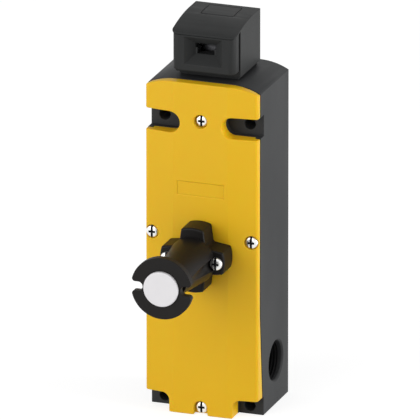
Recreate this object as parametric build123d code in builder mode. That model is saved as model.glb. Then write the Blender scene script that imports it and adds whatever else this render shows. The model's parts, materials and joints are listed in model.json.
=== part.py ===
from build123d import *
import os
from math import atan2, cos, degrees, hypot, radians, sin

os.makedirs("parts", exist_ok=True)

# Tongue interlock switch, millimetres. The origin is the centre of the four fixing holes on the
# mounting face. +Z runs up to the actuating head, -Y runs out of the yellow lid.
# Depths are measured forward from the mounting face, heights up from the lower edge of the case.

# Case outline
body_width = 54.0
side_height = 155.2
roof_height = 158.6
roof_flat = 27.0
wall = 2.5

# Parting line between case and lid, which lies further back at the foot
case_depth = 38.2
rim_setback = 3.4
rim_bend_height = 50.0
rim_low_height = 8.9
seal_thickness = 0.4
seal_inset = 0.5
seal_width = 1.5

# Fixing holes, ears and the openings of the lid round them
fix_inset = 6.6
fix_pitch_z = 135.0
fix_hole_height = 4.1
fix_hole_radius = 2.65
column_radius = 5.6
ear_depth = 33.8
ear_thickness = 4.0
corner_reach = 11.7
corner_height = 8.9
corner_radius = 3.5
slot_width = 9.9
slot_length = 17.0

# Lid
lid_depth = 43.5
lid_flat = 26.0
lid_edge_depth = 41.8
lid_wall = 2.2
lid_round = 1.6
collar_wall = 2.5
collar_depth = 36.6
field_width = 22.0
field_height = 6.0
field_centre = 108.4
field_recess = 0.4

# Lid screws
lid_screw_top = 140.7
lid_screw_side = 85.2
lid_screw_inset = 3.2
lid_screw_foot = 3.5
lid_screw_boss = 3.5
lid_screw_seat = 40.4
screw_head_radius = 2.9
screw_head_height = 1.9
screw_shank_radius = 1.5
screw_length = 10.4
screw_recess_width = 0.8
screw_recess_share = 0.75
screw_recess_depth = 1.0
head_clearance = 0.3
shank_clearance = 0.1

# Cable entries
entry_radius = 9.25
entry_chamfer = 0.8
entry_depth = 16.9
entry_height = 20.9
entry_boss_wall = 3.0
entry_boss_length = 8.0

# Fits
running = 0.08
seat = 0.05
free_gap = 0.3

# Actuating head
head_width = 31.0
head_back = 5.0
head_side_front = 33.0
head_front_depth = 40.0
head_top = 185.0
head_top_flat = 14.0
head_nose_height = 181.0
head_wall = 2.2
head_plate_thickness = 1.6
head_plate_inset = 1.5
head_floor = 2.0
head_corner_round = 1.6
hood_thickness = 0.9
front_width = 30.0
front_foot = 163.3
front_corner = 3.0
front_back_depth = 33.6
front_spigot = 2.4
funnel_width = 18.1
funnel_low = 166.2
funnel_high = 179.3
funnel_depth = 4.0
slot_low = 170.6
slot_high = 175.5
slot_step_height = 173.5
slot_wide = 9.7
slot_narrow = 8.0
plug_width = 16.0
plug_front = 21.4
plug_back = 9.0
plug_round = 1.2
plug_gap = 0.2
plug_thickness = 3.0
head_screw_x = 10.0
head_screw_front = 27.0
head_screw_back = 9.6
head_screw_radius = 2.4
head_screw_height = 1.6
head_screw_shank = 1.25
head_screw_length = 9.0
head_boss_radius = 2.6
head_boss_height = 7.0

# Cam wheel
cam_depth = 20.0
cam_height = 169.5
cam_radius = 9.0
cam_width = 8.0
cam_turn = 60.0
spiral_lead = 25.0
spiral_steps = 8
cam_lift = 3.5
cam_notch_width = 5.2
cam_notch_depth = 5.0
cam_notch_angle = 40.0
axle_radius = 2.0
axle_skin = 0.8

# Tappet and contacts
rod_radius = 2.5
tip_radius = 1.4
tip_height = 3.0
guide_radius = 5.0
guide_foot = 149.0
guide_flange = 1.2
collar_radius = 6.0
collar_height = 4.0
collar_foot = 92.0
block_foot = 104.0
block_top = 130.0
block_floor = 3.0
block_inset = 4.7
block_back = 2.5
block_ledge_depth = 28.0
block_front_gap = 0.5
block_ledge = 6.3
chamber_half = 9.5
chamber_back = 12.0
carrier_half = 6.0
carrier_foot = 111.0
carrier_top = 124.0
carrier_back = 16.5
carrier_wall = 1.6
bridge_half = 9.0
bridge_width = 4.2
bridge_thickness = 1.0
bridge_gap = 1.7
low_bridge_height = 113.3
high_bridge_height = 120.0
contact_tip_x = 7.2
contact_thickness = 1.0
terminal_inset = 3.3
terminal_pad = 5.6
terminal_head_radius = 2.5
terminal_head_height = 1.8
terminal_shank_radius = 1.25
terminal_screw_length = 7.0

# Lock slide and its guide
slide_travel = 8.0
slide_bite = 2.4
nose_rise = 2.3
slide_height = 4.0
slide_width = 10.0
slide_room = 2.3
slide_chamfer = 1.0
slide_pin_radius = 1.5
slide_pin_setback = 5.4
guide_wall = 2.0
guide_end = 8.5
guide_foot_gap = 0.6

# Solenoid
coil_depth = 16.0
yoke_foot = 36.0
yoke_top = 70.0
yoke_thickness = 2.0
yoke_width = 26.0
coil_radius = 10.4
bobbin_flange = 1.2
bobbin_wall = 1.0
plunger_radius = 5.0
plunger_foot = 52.0
armature_travel = 5.0
armature_disc_radius = 7.0
armature_disc_height = 76.0
armature_disc_thickness = 1.5
link_thickness = 2.0
link_front = 12.0
link_side = 4.0
link_rim = 3.0
link_end_rim = 1.5
coil_terminal_width = 6.0
coil_terminal_foot = 44.0
coil_terminal_height = 18.0
coil_terminal_pitch = 9.0
coil_terminal_depth = 24.0

# Springs
spring_wire = 0.8
spring_turns = 3.0
tappet_spring_radius = 4.2
armature_spring_radius = 6.2

# Escape release
release_height = 78.3
flange_radius = 15.5
flange_thickness = 11.5
arm_half_width = 5.2
arm_root = 6.5
flange_fillet = 1.2
flange_round = 1.0
release_screw_x = 11.8
release_screw_radius = 3.0
release_screw_head = 1.8
release_screw_shank = 1.7
neck_radius_back = 11.2
neck_radius_front = 8.0
neck_lip = 3.5
stem_radius = 5.0
tail_radius = 3.0
stem_back = 45.0
tail_back = 33.0
tail_chamfer = 1.0
spigot_radius = 7.0
spigot_back = 39.5
stop_radius = 6.4
stop_thickness = 1.0
release_travel = 8.0
disc_radius = 14.55
disc_thickness = 3.2
disc_depth = 95.6
disc_notch_width = 4.3
disc_notch_reach = 9.0
disc_round = 1.4
disc_edge_round = 0.2
cap_radius = 8.2
cap_proud = 1.4
cap_sink = 1.2
cap_round = 0.4
seal_ring_depth = 62.0
seal_ring_radius = 0.9
seal_room = 1.95

# Worked out from the sizes above
half_width = body_width / 2
fix_pitch_x = body_width - 2 * fix_inset
tab_half_width = half_width - corner_reach
slot_reach = half_width - slot_length
lid_screw_side_x = half_width - lid_screw_inset
block_half_width = half_width - block_inset
block_core_half = block_half_width - block_ledge
terminal_x = block_half_width - terminal_inset
bridge_depth = cam_depth + rod_radius + bridge_gap + bridge_width / 2
carrier_front = bridge_depth + bridge_width / 2 + carrier_wall
block_front_depth = carrier_front + block_front_gap
neck_depth = disc_depth - disc_thickness - release_travel - free_gap
foot = -(fix_pitch_z / 2 + fix_hole_height)
shelf_back = ear_depth - ear_thickness
# Tall enough for a cut to take the whole height
whole_height = 4 * roof_height


def level(height):
    """Z of a height above the lower edge of the case."""
    return foot + height


fix_holes = [
    (side * fix_pitch_x / 2, end * fix_pitch_z / 2) for side in (-1, 1) for end in (-1, 1)
]
slot_centre = fix_pitch_z / 2
lid_screws = [
    (0, level(lid_screw_top)),
    (-lid_screw_side_x, level(lid_screw_side)),
    (lid_screw_side_x, level(lid_screw_side)),
    (0, level(lid_screw_foot)),
]

release_screws_at = [(side * release_screw_x, level(release_height)) for side in (-1, 1)]

head_foot = roof_height + head_plate_thickness
head_screw_places = [
    (side * head_screw_x, -depth) for side in (-1, 1) for depth in (head_screw_front, head_screw_back)
]


# Shared outlines

def case_face():
    """Front silhouette of the case: upright sides and an arched roof with a flat middle."""
    side_top = (half_width, level(side_height))
    with BuildLine() as outline:
        roof = Line((-roof_flat / 2, level(roof_height)), (roof_flat / 2, level(roof_height)))
        TangentArc(roof @ 1, side_top, tangent=(1, 0))
        TangentArc(roof @ 0, (-side_top[0], side_top[1]), tangent=(-1, 0))
        Polyline(side_top, (half_width, foot), (-half_width, foot), (-side_top[0], side_top[1]))
    make_face(outline.edges())


def ear_notches(grow, mode):
    """The two side slots and the two lower corners, through which the fixing screws are reached."""
    with Locations((-half_width, slot_centre), (half_width, slot_centre)):
        SlotOverall(
            2 * (half_width - slot_reach + grow), slot_width + 2 * grow, mode=mode
        )
    with Locations((-half_width, foot), (half_width, foot)):
        RectangleRounded(
            2 * (half_width - tab_half_width + grow),
            2 * (corner_height + grow),
            corner_radius + grow,
            mode=mode,
        )


def lid_face():
    """Front silhouette of the lid, which is the case's without the ear notches."""
    case_face()
    ear_notches(0, Mode.SUBTRACT)


def behind_parting(forward):
    """Side view of all that lies behind the parting line, moved forward by the given amount."""
    upper = -(case_depth + forward)
    lower = upper + rim_setback
    with BuildLine() as outline:
        Polyline(
            (0, foot),
            (lower, foot),
            (lower, level(rim_low_height)),
            (upper, level(rim_bend_height)),
            (upper, level(roof_height)),
            (0, level(roof_height)),
            close=True,
        )
    make_face(outline.edges())


def slot_collar(mode):
    """The part of a slot's surround that lies inboard of the case's side walls."""
    with Locations((0, slot_centre)):
        Rectangle(2 * (half_width - wall), slot_width + 2 * collar_wall, mode=mode)
    with Locations((0, slot_centre)):
        Rectangle(
            2 * (slot_reach - collar_wall), slot_width + 2 * collar_wall, mode=Mode.SUBTRACT
        )


# Case

with BuildPart() as housing:
    with BuildSketch(Plane.XZ):
        case_face()
    extrude(amount=case_depth)
    with BuildSketch(Plane.YZ):
        behind_parting(0)
    extrude(amount=half_width, both=True, mode=Mode.INTERSECT)
    # Rear room, with a column left round each fixing hole
    with BuildSketch(Plane.XZ.offset(wall)):
        case_face()
        offset(amount=-wall, kind=Kind.INTERSECTION)
        with Locations(*fix_holes):
            Circle(column_radius, mode=Mode.SUBTRACT)
    extrude(amount=shelf_back - wall, mode=Mode.SUBTRACT)
    # Front room inside the rim, with the screw bosses and the bridge between the ears left
    with BuildSketch(Plane.XZ.offset(shelf_back)):
        lid_face()
        offset(amount=-wall, kind=Kind.INTERSECTION)
        with Locations(*lid_screws):
            Circle(lid_screw_boss, mode=Mode.SUBTRACT)
        with Locations((0, level(lid_screw_top))):
            Rectangle(2 * slot_reach, 2 * lid_screw_boss, mode=Mode.SUBTRACT)
    extrude(amount=case_depth - shelf_back, mode=Mode.SUBTRACT)
    # Ear notches down to the face that the fixing screws clamp
    with BuildSketch(Plane.XZ.offset(ear_depth)):
        ear_notches(0, Mode.ADD)
    extrude(amount=case_depth - ear_depth, mode=Mode.SUBTRACT)
    # Step in the slots' surround for the collar of the lid
    with BuildSketch(Plane.XZ.offset(collar_depth)):
        slot_collar(Mode.ADD)
    extrude(amount=case_depth - collar_depth, mode=Mode.SUBTRACT)
    # Bosses of the cable entries
    for side in (-1, 1):
        with BuildSketch(Plane.YZ.offset(side * (half_width - wall - entry_boss_length))):
            with Locations((-entry_depth, level(entry_height))):
                Circle(entry_radius + entry_boss_wall)
        extrude(amount=side * entry_boss_length)
    with BuildSketch(Plane.XY.offset(foot + wall)):
        with Locations((0, -entry_depth)):
            Circle(entry_radius + entry_boss_wall)
    extrude(amount=entry_boss_length)
    # Their bores
    for side in (-1, 1):
        with BuildSketch(Plane.YZ.offset(side * half_width)):
            with Locations((-entry_depth, level(entry_height))):
                Circle(entry_radius)
        extrude(amount=-side * (wall + entry_boss_length), mode=Mode.SUBTRACT)
    with BuildSketch(Plane.XY.offset(foot)):
        with Locations((0, -entry_depth)):
            Circle(entry_radius)
    extrude(amount=wall + entry_boss_length, mode=Mode.SUBTRACT)
    mouths = housing.edges().filter_by(GeomType.CIRCLE)
    mouths = mouths.filter_by(lambda edge: abs(edge.radius - entry_radius) < seat)
    side_mouths = mouths.group_by(Axis.X)[0] + mouths.group_by(Axis.X)[-1]
    foot_mouth = mouths.group_by(Axis.Z)[0]
    chamfer(side_mouths + foot_mouth, length=entry_chamfer)
    # Seat of the tappet guide in the roof
    with BuildSketch(Plane.XY.offset(level(roof_height))):
        with Locations((0, -cam_depth)):
            Circle(guide_radius + wall)
    extrude(amount=-(roof_height - guide_foot))
    with BuildSketch(Plane.XY.offset(level(roof_height))):
        with Locations((0, -cam_depth)):
            Circle(guide_radius + seat)
    extrude(amount=-(roof_height - guide_foot), mode=Mode.SUBTRACT)
    with BuildSketch(Plane.XY.offset(level(roof_height))):
        with Locations(*head_screw_places):
            Circle(head_screw_shank + shank_clearance)
    extrude(amount=-wall, mode=Mode.SUBTRACT)
    # Fixing holes, and pilot holes of the lid screws
    with BuildSketch(Plane.XZ):
        with Locations(*fix_holes):
            Circle(fix_hole_radius)
    extrude(amount=ear_depth, mode=Mode.SUBTRACT)
    with BuildSketch(Plane.XZ.offset(shelf_back)):
        with Locations(*lid_screws):
            Circle(screw_shank_radius + shank_clearance)
    extrude(amount=case_depth - shelf_back, mode=Mode.SUBTRACT)
housing.part.label = "housing"
export_step(housing.part, "parts/housing.step")

# Seal in the parting line

with BuildPart() as cover_gasket:
    with BuildSketch(Plane.XZ):
        lid_face()
        offset(amount=-seal_inset, kind=Kind.INTERSECTION)
    extrude(amount=lid_depth)
    with BuildSketch(Plane.XZ):
        lid_face()
        offset(amount=-(seal_inset + seal_width), kind=Kind.INTERSECTION)
    extrude(amount=lid_depth, mode=Mode.SUBTRACT)
    with BuildSketch(Plane.YZ):
        behind_parting(seal_thickness)
    extrude(amount=half_width, both=True, mode=Mode.INTERSECT)
    with BuildSketch(Plane.YZ):
        behind_parting(0)
    extrude(amount=half_width, both=True, mode=Mode.SUBTRACT)
    with BuildSketch(Plane.XZ):
        slot_collar(Mode.ADD)
        with Locations(*lid_screws):
            Circle(screw_shank_radius + free_gap)
    extrude(amount=lid_depth, mode=Mode.SUBTRACT)
cover_gasket.part.label = "cover_gasket"
export_step(cover_gasket.part, "parts/cover_gasket.step")

# Lid

with BuildPart() as cover:
    with BuildSketch(Plane.XZ):
        lid_face()
    extrude(amount=lid_depth)
    # Sloped facets either side of the flat middle
    with BuildSketch(Plane.XY.offset(foot)):
        with BuildLine():
            Polyline(
                (-half_width, 0),
                (-half_width, -lid_edge_depth),
                (-lid_flat / 2, -lid_depth),
                (lid_flat / 2, -lid_depth),
                (half_width, -lid_edge_depth),
                (half_width, 0),
                close=True,
            )
        make_face()
    extrude(amount=roof_height, mode=Mode.INTERSECT)
    long_edges = cover.edges().filter_by(Axis.Z)
    outer_edges = long_edges.filter_by(lambda edge: abs(abs(edge.center().X) - half_width) < seat)
    front_edges = outer_edges.filter_by(lambda edge: edge.center().Y < -lid_edge_depth + seat)
    fillet(front_edges, radius=lid_round)
    # Behind the parting line, and the room inside
    with BuildSketch(Plane.YZ):
        behind_parting(seal_thickness)
    extrude(amount=half_width, both=True, mode=Mode.SUBTRACT)
    with BuildSketch(Plane.XZ):
        lid_face()
        offset(amount=-lid_wall, kind=Kind.INTERSECTION)
        with Locations(*lid_screws):
            Circle(lid_screw_boss, mode=Mode.SUBTRACT)
    extrude(amount=lid_edge_depth - lid_wall, mode=Mode.SUBTRACT)
    # Collars of the side slots, which reach into the case
    with BuildSketch(Plane.XZ.offset(collar_depth)):
        slot_collar(Mode.ADD)
        ear_notches(0, Mode.SUBTRACT)
    extrude(amount=lid_edge_depth - lid_wall - collar_depth)
    # Screw seats, with the lowest one open to the foot
    with BuildSketch(Plane.XZ.offset(lid_screw_seat)):
        with Locations(*lid_screws):
            Circle(screw_head_radius + head_clearance)
        with Locations((0, foot)):
            Rectangle(
                2 * (screw_head_radius + head_clearance), 2 * lid_screw_foot
            )
    extrude(amount=lid_depth - lid_screw_seat, mode=Mode.SUBTRACT)
    with BuildSketch(Plane.XZ):
        with Locations(*lid_screws):
            Circle(screw_shank_radius + shank_clearance)
    extrude(amount=lid_depth, mode=Mode.SUBTRACT)
    # Bare field
    with BuildSketch(Plane.XZ.offset(lid_depth)):
        with Locations((0, level(field_centre))):
            Rectangle(field_width, field_height)
    extrude(amount=-field_recess, mode=Mode.SUBTRACT)
    # Holes of the escape release
    with BuildSketch(Plane.XZ):
        with Locations((0, level(release_height))):
            Circle(spigot_radius + seat)
        with Locations(*release_screws_at):
            Circle(release_screw_shank + shank_clearance)
    extrude(amount=lid_depth, mode=Mode.SUBTRACT)
cover.part.label = "cover"
export_step(cover.part, "parts/cover.step")


def cross_screw(head_radius, head_height, shank_radius, length):
    """A pan-head screw on the current sketch plane's axis: its head outwards, its shank inwards."""
    Cylinder(head_radius, head_height, align=(Align.CENTER, Align.CENTER, Align.MIN))
    Cylinder(shank_radius, length, align=(Align.CENTER, Align.CENTER, Align.MAX))


def cross_recess(head_radius, head_height):
    """The cross in the head of a screw on the current plane."""
    with Locations((0, 0, head_height)):
        for turn in (0, 90):
            Box(
                2 * screw_recess_share * head_radius,
                screw_recess_width,
                screw_recess_depth,
                rotation=(0, 0, turn),
                align=(Align.CENTER, Align.CENTER, Align.MAX),
                mode=Mode.SUBTRACT,
            )


with BuildPart() as cover_screws:
    for x, z in lid_screws:
        with Locations(Plane.XZ.offset(lid_screw_seat) * Location((x, z, 0))):
            cross_screw(screw_head_radius, screw_head_height, screw_shank_radius, screw_length)
            cross_recess(screw_head_radius, screw_head_height)
cover_screws.part.label = "cover_screws"
export_step(cover_screws.part, "parts/cover_screws.step")

# Actuating head


def head_profile(drop):
    """Side view of the head above its plate, with its top skin lowered by the given amount."""
    back_top = (-head_back, level(head_top - drop))
    with BuildLine() as outline:
        top = Line(back_top, (-head_top_flat, level(head_top - drop)))
        nose = TangentArc(
            top @ 1, (-head_front_depth, level(head_nose_height - drop)), tangent=(-1, 0)
        )
        Polyline(
            nose @ 1,
            (-head_front_depth, level(head_foot)),
            (-head_back, level(head_foot)),
            back_top,
        )
    make_face(outline.edges())


with BuildPart() as head_plate:
    with BuildSketch(Plane.XY.offset(level(roof_height))):
        with Locations((0, -(head_back + head_side_front) / 2)):
            Rectangle(
                head_width - 2 * head_plate_inset, head_side_front - head_back - 2 * head_plate_inset
            )
        with Locations((0, -cam_depth)):
            Circle(guide_radius, mode=Mode.SUBTRACT)
        with Locations(*head_screw_places):
            Circle(head_screw_shank + shank_clearance, mode=Mode.SUBTRACT)
    extrude(amount=head_plate_thickness)
head_plate.part.label = "head_plate"
export_step(head_plate.part, "parts/head_plate.step")

with BuildPart() as head_housing:
    with BuildSketch(Plane.YZ):
        head_profile(0)
    extrude(amount=head_width / 2, both=True)
    back_corner = head_housing.edges().filter_by(Axis.X).sort_by(Axis.Z)[-1:]
    upright_corners = head_housing.edges().filter_by(Axis.Z).sort_by(Axis.Y)[-2:]
    fillet(back_corner + upright_corners, radius=head_corner_round)
    front_corners = head_housing.edges().filter_by(Axis.Z).sort_by(Axis.Y)[:2]
    fillet(front_corners, radius=front_corner)
    # Room for the wheel
    with BuildSketch(Plane.YZ):
        head_profile(head_wall)
        with Locations((-head_back, 0)):
            Rectangle(2 * head_wall, 2 * roof_height, mode=Mode.SUBTRACT)
        with Locations((0, level(head_foot))):
            Rectangle(2 * head_front_depth, 2 * head_floor, mode=Mode.SUBTRACT)
    extrude(amount=head_width / 2 - head_wall, both=True, mode=Mode.SUBTRACT)
    # Bosses of the screws that come up through the roof
    with BuildSketch(Plane.XY.offset(level(head_foot))):
        with Locations(*head_screw_places):
            Circle(head_boss_radius)
    extrude(amount=head_boss_height)
    with BuildSketch(Plane.XY.offset(level(head_foot))):
        with Locations(*head_screw_places):
            Circle(head_screw_shank + seat)
    extrude(amount=head_boss_height - head_floor / 2, mode=Mode.SUBTRACT)
    # The front below the hood is left to the insert
    with BuildSketch(Plane.YZ):
        head_profile(hood_thickness)
        with Locations((0, 0)):
            Rectangle(2 * head_side_front, whole_height, mode=Mode.SUBTRACT)
    extrude(amount=head_width / 2, both=True, mode=Mode.SUBTRACT)
    # Window for the wheel, second entry in the top, holes of the axle
    with BuildSketch(Plane.XY.offset(level(head_foot))):
        with Locations((0, -cam_depth)):
            Rectangle(cam_width + 2 * free_gap, 2 * cam_radius)
    extrude(amount=head_floor, mode=Mode.SUBTRACT)
    with BuildSketch(Plane.XY.offset(level(head_top))):
        with Locations((0, -(plug_front + plug_back) / 2)):
            RectangleRounded(plug_width, plug_front - plug_back, plug_round)
    extrude(amount=-(head_top - cam_height), mode=Mode.SUBTRACT)
    with BuildSketch(Plane.YZ):
        with Locations((-cam_depth, level(cam_height))):
            Circle(axle_radius + seat)
    extrude(amount=head_width / 2 - axle_skin, both=True, mode=Mode.SUBTRACT)
head_housing.part.label = "head_housing"
export_step(head_housing.part, "parts/head_housing.step")

with BuildPart() as top_slot_plug:
    with BuildSketch(Plane.YZ):
        head_profile(0)
    extrude(amount=plug_width / 2 - plug_gap, both=True)
    with BuildSketch(Plane.YZ):
        head_profile(plug_thickness)
    extrude(amount=plug_width, both=True, mode=Mode.SUBTRACT)
    with BuildSketch(Plane.XY.offset(level(head_foot))):
        with Locations((0, -(plug_front + plug_back) / 2)):
            RectangleRounded(
                plug_width - 2 * plug_gap, plug_front - plug_back - 2 * plug_gap, plug_round - plug_gap
            )
    extrude(amount=head_top - head_foot, mode=Mode.INTERSECT)
top_slot_plug.part.label = "top_slot_plug"
export_step(top_slot_plug.part, "parts/top_slot_plug.step")

with BuildPart() as head_front:
    # Face plate with rounded uprights, under the hood
    with BuildSketch(Plane.YZ):
        head_profile(hood_thickness + plug_gap)
        with Locations((0, level(head_foot))):
            Rectangle(2 * head_front_depth, 2 * (front_foot - head_foot), mode=Mode.SUBTRACT)
        with Locations((0, 0)):
            Rectangle(2 * front_back_depth, whole_height, mode=Mode.SUBTRACT)
    extrude(amount=front_width / 2, both=True)
    uprights = head_front.edges().filter_by(Axis.Z).sort_by(Axis.Y)[:2]
    fillet(uprights, radius=front_corner)
    # Spigot that fits into the head
    with BuildSketch(Plane.YZ):
        head_profile(head_wall + seat)
        with Locations((0, level(head_foot))):
            Rectangle(2 * head_front_depth, 2 * (head_floor + seat), mode=Mode.SUBTRACT)
        with Locations((0, 0)):
            Rectangle(2 * (front_back_depth - front_spigot), whole_height, mode=Mode.SUBTRACT)
        with Locations((-head_front_depth, 0)):
            Rectangle(2 * (head_front_depth - front_back_depth), whole_height, mode=Mode.SUBTRACT)
    extrude(amount=head_width / 2 - head_wall - seat, both=True)
    # Funnel
    with BuildSketch(Plane.XZ.offset(head_front_depth)):
        with Locations((0, level((funnel_low + funnel_high) / 2))):
            Rectangle(funnel_width, funnel_high - funnel_low)
    with BuildSketch(Plane.XZ.offset(head_front_depth - funnel_depth)):
        with Locations((0, level((slot_low + slot_high) / 2))):
            Rectangle(slot_wide, slot_high - slot_low)
    loft(mode=Mode.SUBTRACT)
    # Coded slot
    with BuildSketch(Plane.XZ.offset(head_front_depth - funnel_depth)):
        with Locations((0, level((slot_low + slot_high) / 2))):
            Rectangle(slot_narrow, slot_high - slot_low)
        with Locations((0, level((slot_step_height + slot_high) / 2))):
            Rectangle(slot_wide, slot_high - slot_step_height)
    extrude(amount=-(front_back_depth + front_spigot), mode=Mode.SUBTRACT)
head_front.part.label = "head_front"
export_step(head_front.part, "parts/head_front.step")

# Cam wheel: its underside is a spiral that lets the tappet rise as it turns


def spiral_point(turn):
    """A point of the wheel's spiral, turned from straight down towards the back."""
    radius = cam_radius - cam_lift * turn / cam_turn
    angle = radians(turn)
    return (radius * sin(angle), -radius * cos(angle))


spiral_run = cam_turn + spiral_lead
with BuildPart() as cam_wheel:
    with BuildSketch(Plane.YZ.shift_origin((0, -cam_depth, level(cam_height)))):
        with BuildLine():
            spiral = Spline(
                *[spiral_point(spiral_run * step / spiral_steps) for step in range(spiral_steps + 1)]
            )
            Line(spiral @ 1, (cam_radius, 0))
            # Three quarters of a circle, from the back over the top to straight down
            CenterArc((0, 0), cam_radius, 0, 270)
        make_face()
        with Locations(Location((0, 0), cam_notch_angle)):
            with Locations((0, cam_radius)):
                Rectangle(cam_notch_width, 2 * cam_notch_depth, mode=Mode.SUBTRACT)
        Circle(axle_radius + running, mode=Mode.SUBTRACT)
    extrude(amount=cam_width / 2, both=True)
cam_wheel.part.label = "cam_wheel"
export_step(cam_wheel.part, "parts/cam_wheel.step")

with BuildPart() as cam_axle:
    with BuildSketch(Plane.YZ):
        with Locations((-cam_depth, level(cam_height))):
            Circle(axle_radius)
    extrude(amount=head_width / 2 - axle_skin - seat, both=True)
cam_axle.part.label = "cam_axle"
export_step(cam_axle.part, "parts/cam_axle.step")

# Tappet with its collar, guide, spring

tappet_top = cam_height - cam_radius - free_gap
with BuildPart() as tappet:
    with BuildSketch(Plane.YZ):
        with BuildLine():
            edge = Polyline(
                (-cam_depth, level(collar_foot)),
                (-cam_depth + collar_radius, level(collar_foot)),
                (-cam_depth + collar_radius, level(collar_foot + collar_height)),
                (-cam_depth + rod_radius, level(collar_foot + collar_height)),
                (-cam_depth + rod_radius, level(tappet_top - tip_height)),
                (-cam_depth + tip_radius, level(tappet_top - tip_radius)),
            )
            dome = TangentArc(edge @ 1, (-cam_depth, level(tappet_top)), tangent=(0, 1))
            Line(dome @ 1, edge @ 0)
        make_face()
    revolve(axis=Axis((0, -cam_depth, 0), (0, 0, 1)))
tappet.part.label = "tappet"
export_step(tappet.part, "parts/tappet.step")

with BuildPart() as tappet_guide:
    with BuildSketch(Plane.XY.offset(level(roof_height))):
        with Locations((0, -cam_depth)):
            Circle(guide_radius)
            Circle(rod_radius + running, mode=Mode.SUBTRACT)
    extrude(amount=-(roof_height - guide_foot + guide_flange))
    with BuildSketch(Plane.XY.offset(level(guide_foot))):
        with Locations((0, -cam_depth)):
            Circle(guide_radius + wall)
            Circle(rod_radius + running, mode=Mode.SUBTRACT)
    extrude(amount=-guide_flange)
tappet_guide.part.label = "tappet_guide"
export_step(tappet_guide.part, "parts/tappet_guide.step")


def spring(radius, low, high, depth):
    """A helical spring of square wire on an upright axis."""
    pitch = (high - low - spring_wire) / spring_turns
    with BuildLine() as path:
        turns = Helix(
            pitch=pitch,
            height=high - low - spring_wire,
            radius=radius,
            center=(0, -depth, level(low) + spring_wire / 2),
        )
    with BuildSketch(Plane(origin=turns @ 0, z_dir=turns % 0)) as section:
        Rectangle(spring_wire, spring_wire)
    sweep(section.sketch, path=path.wires()[0], is_frenet=True)


with BuildPart() as tappet_spring:
    spring(tappet_spring_radius, block_foot + block_floor + free_gap, carrier_foot - free_gap, cam_depth)
tappet_spring.part.label = "tappet_spring"
export_step(tappet_spring.part, "parts/tappet_spring.step")

# Contact set. The lower fixed contacts lie under their bridge, the upper ones are met at full lift.

low_contact = low_bridge_height - free_gap - contact_thickness
high_contact = high_bridge_height + bridge_thickness + cam_lift + free_gap
terminals = [
    (side * terminal_x, level(height + contact_thickness / 2))
    for side in (-1, 1)
    for height in (low_contact, high_contact)
]

with BuildPart() as contact_block:
    with BuildSketch(Plane.XY.offset(level(block_foot))):
        with Locations((0, -(block_back + block_ledge_depth) / 2)):
            Rectangle(2 * block_half_width, block_ledge_depth - block_back)
        with Locations((0, -(block_back + block_front_depth) / 2)):
            Rectangle(2 * block_core_half, block_front_depth - block_back)
    extrude(amount=block_top - block_foot)
    # Chamber of the carrier, open to the front and the top
    with BuildSketch(Plane.XY.offset(level(block_foot + block_floor))):
        with Locations((0, -(chamber_back + block_front_depth) / 2)):
            Rectangle(2 * chamber_half, block_front_depth - chamber_back)
    extrude(amount=block_top - block_foot, mode=Mode.SUBTRACT)
    with BuildSketch(Plane.XY.offset(level(block_foot))):
        with Locations((0, -cam_depth)):
            Circle(rod_radius + free_gap)
    extrude(amount=block_floor, mode=Mode.SUBTRACT)
    # Slots of the fixed contacts, and holes of their screws
    with BuildSketch(Plane.YZ):
        for height in (low_contact, high_contact):
            with Locations((-block_front_depth, level(height + contact_thickness / 2))):
                Rectangle(
                    2 * (block_front_depth - bridge_depth) + bridge_width + 2 * seat,
                    contact_thickness + 2 * seat,
                )
    contact_reach = terminal_x - terminal_pad / 2 + contact_thickness
    extrude(amount=contact_reach + seat, both=True, mode=Mode.SUBTRACT)
    with BuildSketch(Plane.XZ.offset(block_ledge_depth)):
        with Locations(*terminals):
            Circle(terminal_shank_radius + seat)
    extrude(amount=-terminal_screw_length, mode=Mode.SUBTRACT)
contact_block.part.label = "contact_block"
export_step(contact_block.part, "parts/contact_block.step")

with BuildPart() as contact_carrier:
    with BuildSketch(Plane.XY.offset(level(carrier_foot))):
        with Locations((0, -(carrier_back + carrier_front) / 2)):
            Rectangle(2 * carrier_half, carrier_front - carrier_back)
        with Locations((0, -cam_depth)):
            Circle(rod_radius + seat, mode=Mode.SUBTRACT)
    extrude(amount=carrier_top - carrier_foot)
    # Windows of the bridges
    with BuildSketch(Plane.YZ):
        for height in (low_bridge_height, high_bridge_height):
            with Locations((-bridge_depth, level(height + bridge_thickness / 2))):
                Rectangle(bridge_width + 2 * seat, bridge_thickness + 2 * seat)
    extrude(amount=carrier_half, both=True, mode=Mode.SUBTRACT)
contact_carrier.part.label = "contact_carrier"
export_step(contact_carrier.part, "parts/contact_carrier.step")

with BuildPart() as contact_bridges:
    with BuildSketch(Plane.YZ):
        for height in (low_bridge_height, high_bridge_height):
            with Locations((-bridge_depth, level(height + bridge_thickness / 2))):
                Rectangle(bridge_width, bridge_thickness)
    extrude(amount=bridge_half, both=True)
contact_bridges.part.label = "contact_bridges"
export_step(contact_bridges.part, "parts/contact_bridges.step")

with BuildPart() as fixed_contacts:
    for height in (low_contact, high_contact):
        for side in (-1, 1):
            inner = side * contact_tip_x
            outer = side * contact_reach
            with BuildSketch(Plane.XY.offset(level(height))):
                with Locations(((inner + outer) / 2, -bridge_depth)):
                    Rectangle(abs(outer - inner), bridge_width)
            extrude(amount=contact_thickness)
            with BuildSketch(Plane.XZ.offset(block_ledge_depth)):
                with Locations((side * terminal_x, level(height + contact_thickness / 2))):
                    Rectangle(terminal_pad, terminal_pad)
                    Circle(terminal_shank_radius + shank_clearance, mode=Mode.SUBTRACT)
            extrude(amount=contact_thickness)
fixed_contacts.part.label = "fixed_contacts"
export_step(fixed_contacts.part, "parts/fixed_contacts.step")


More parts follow.
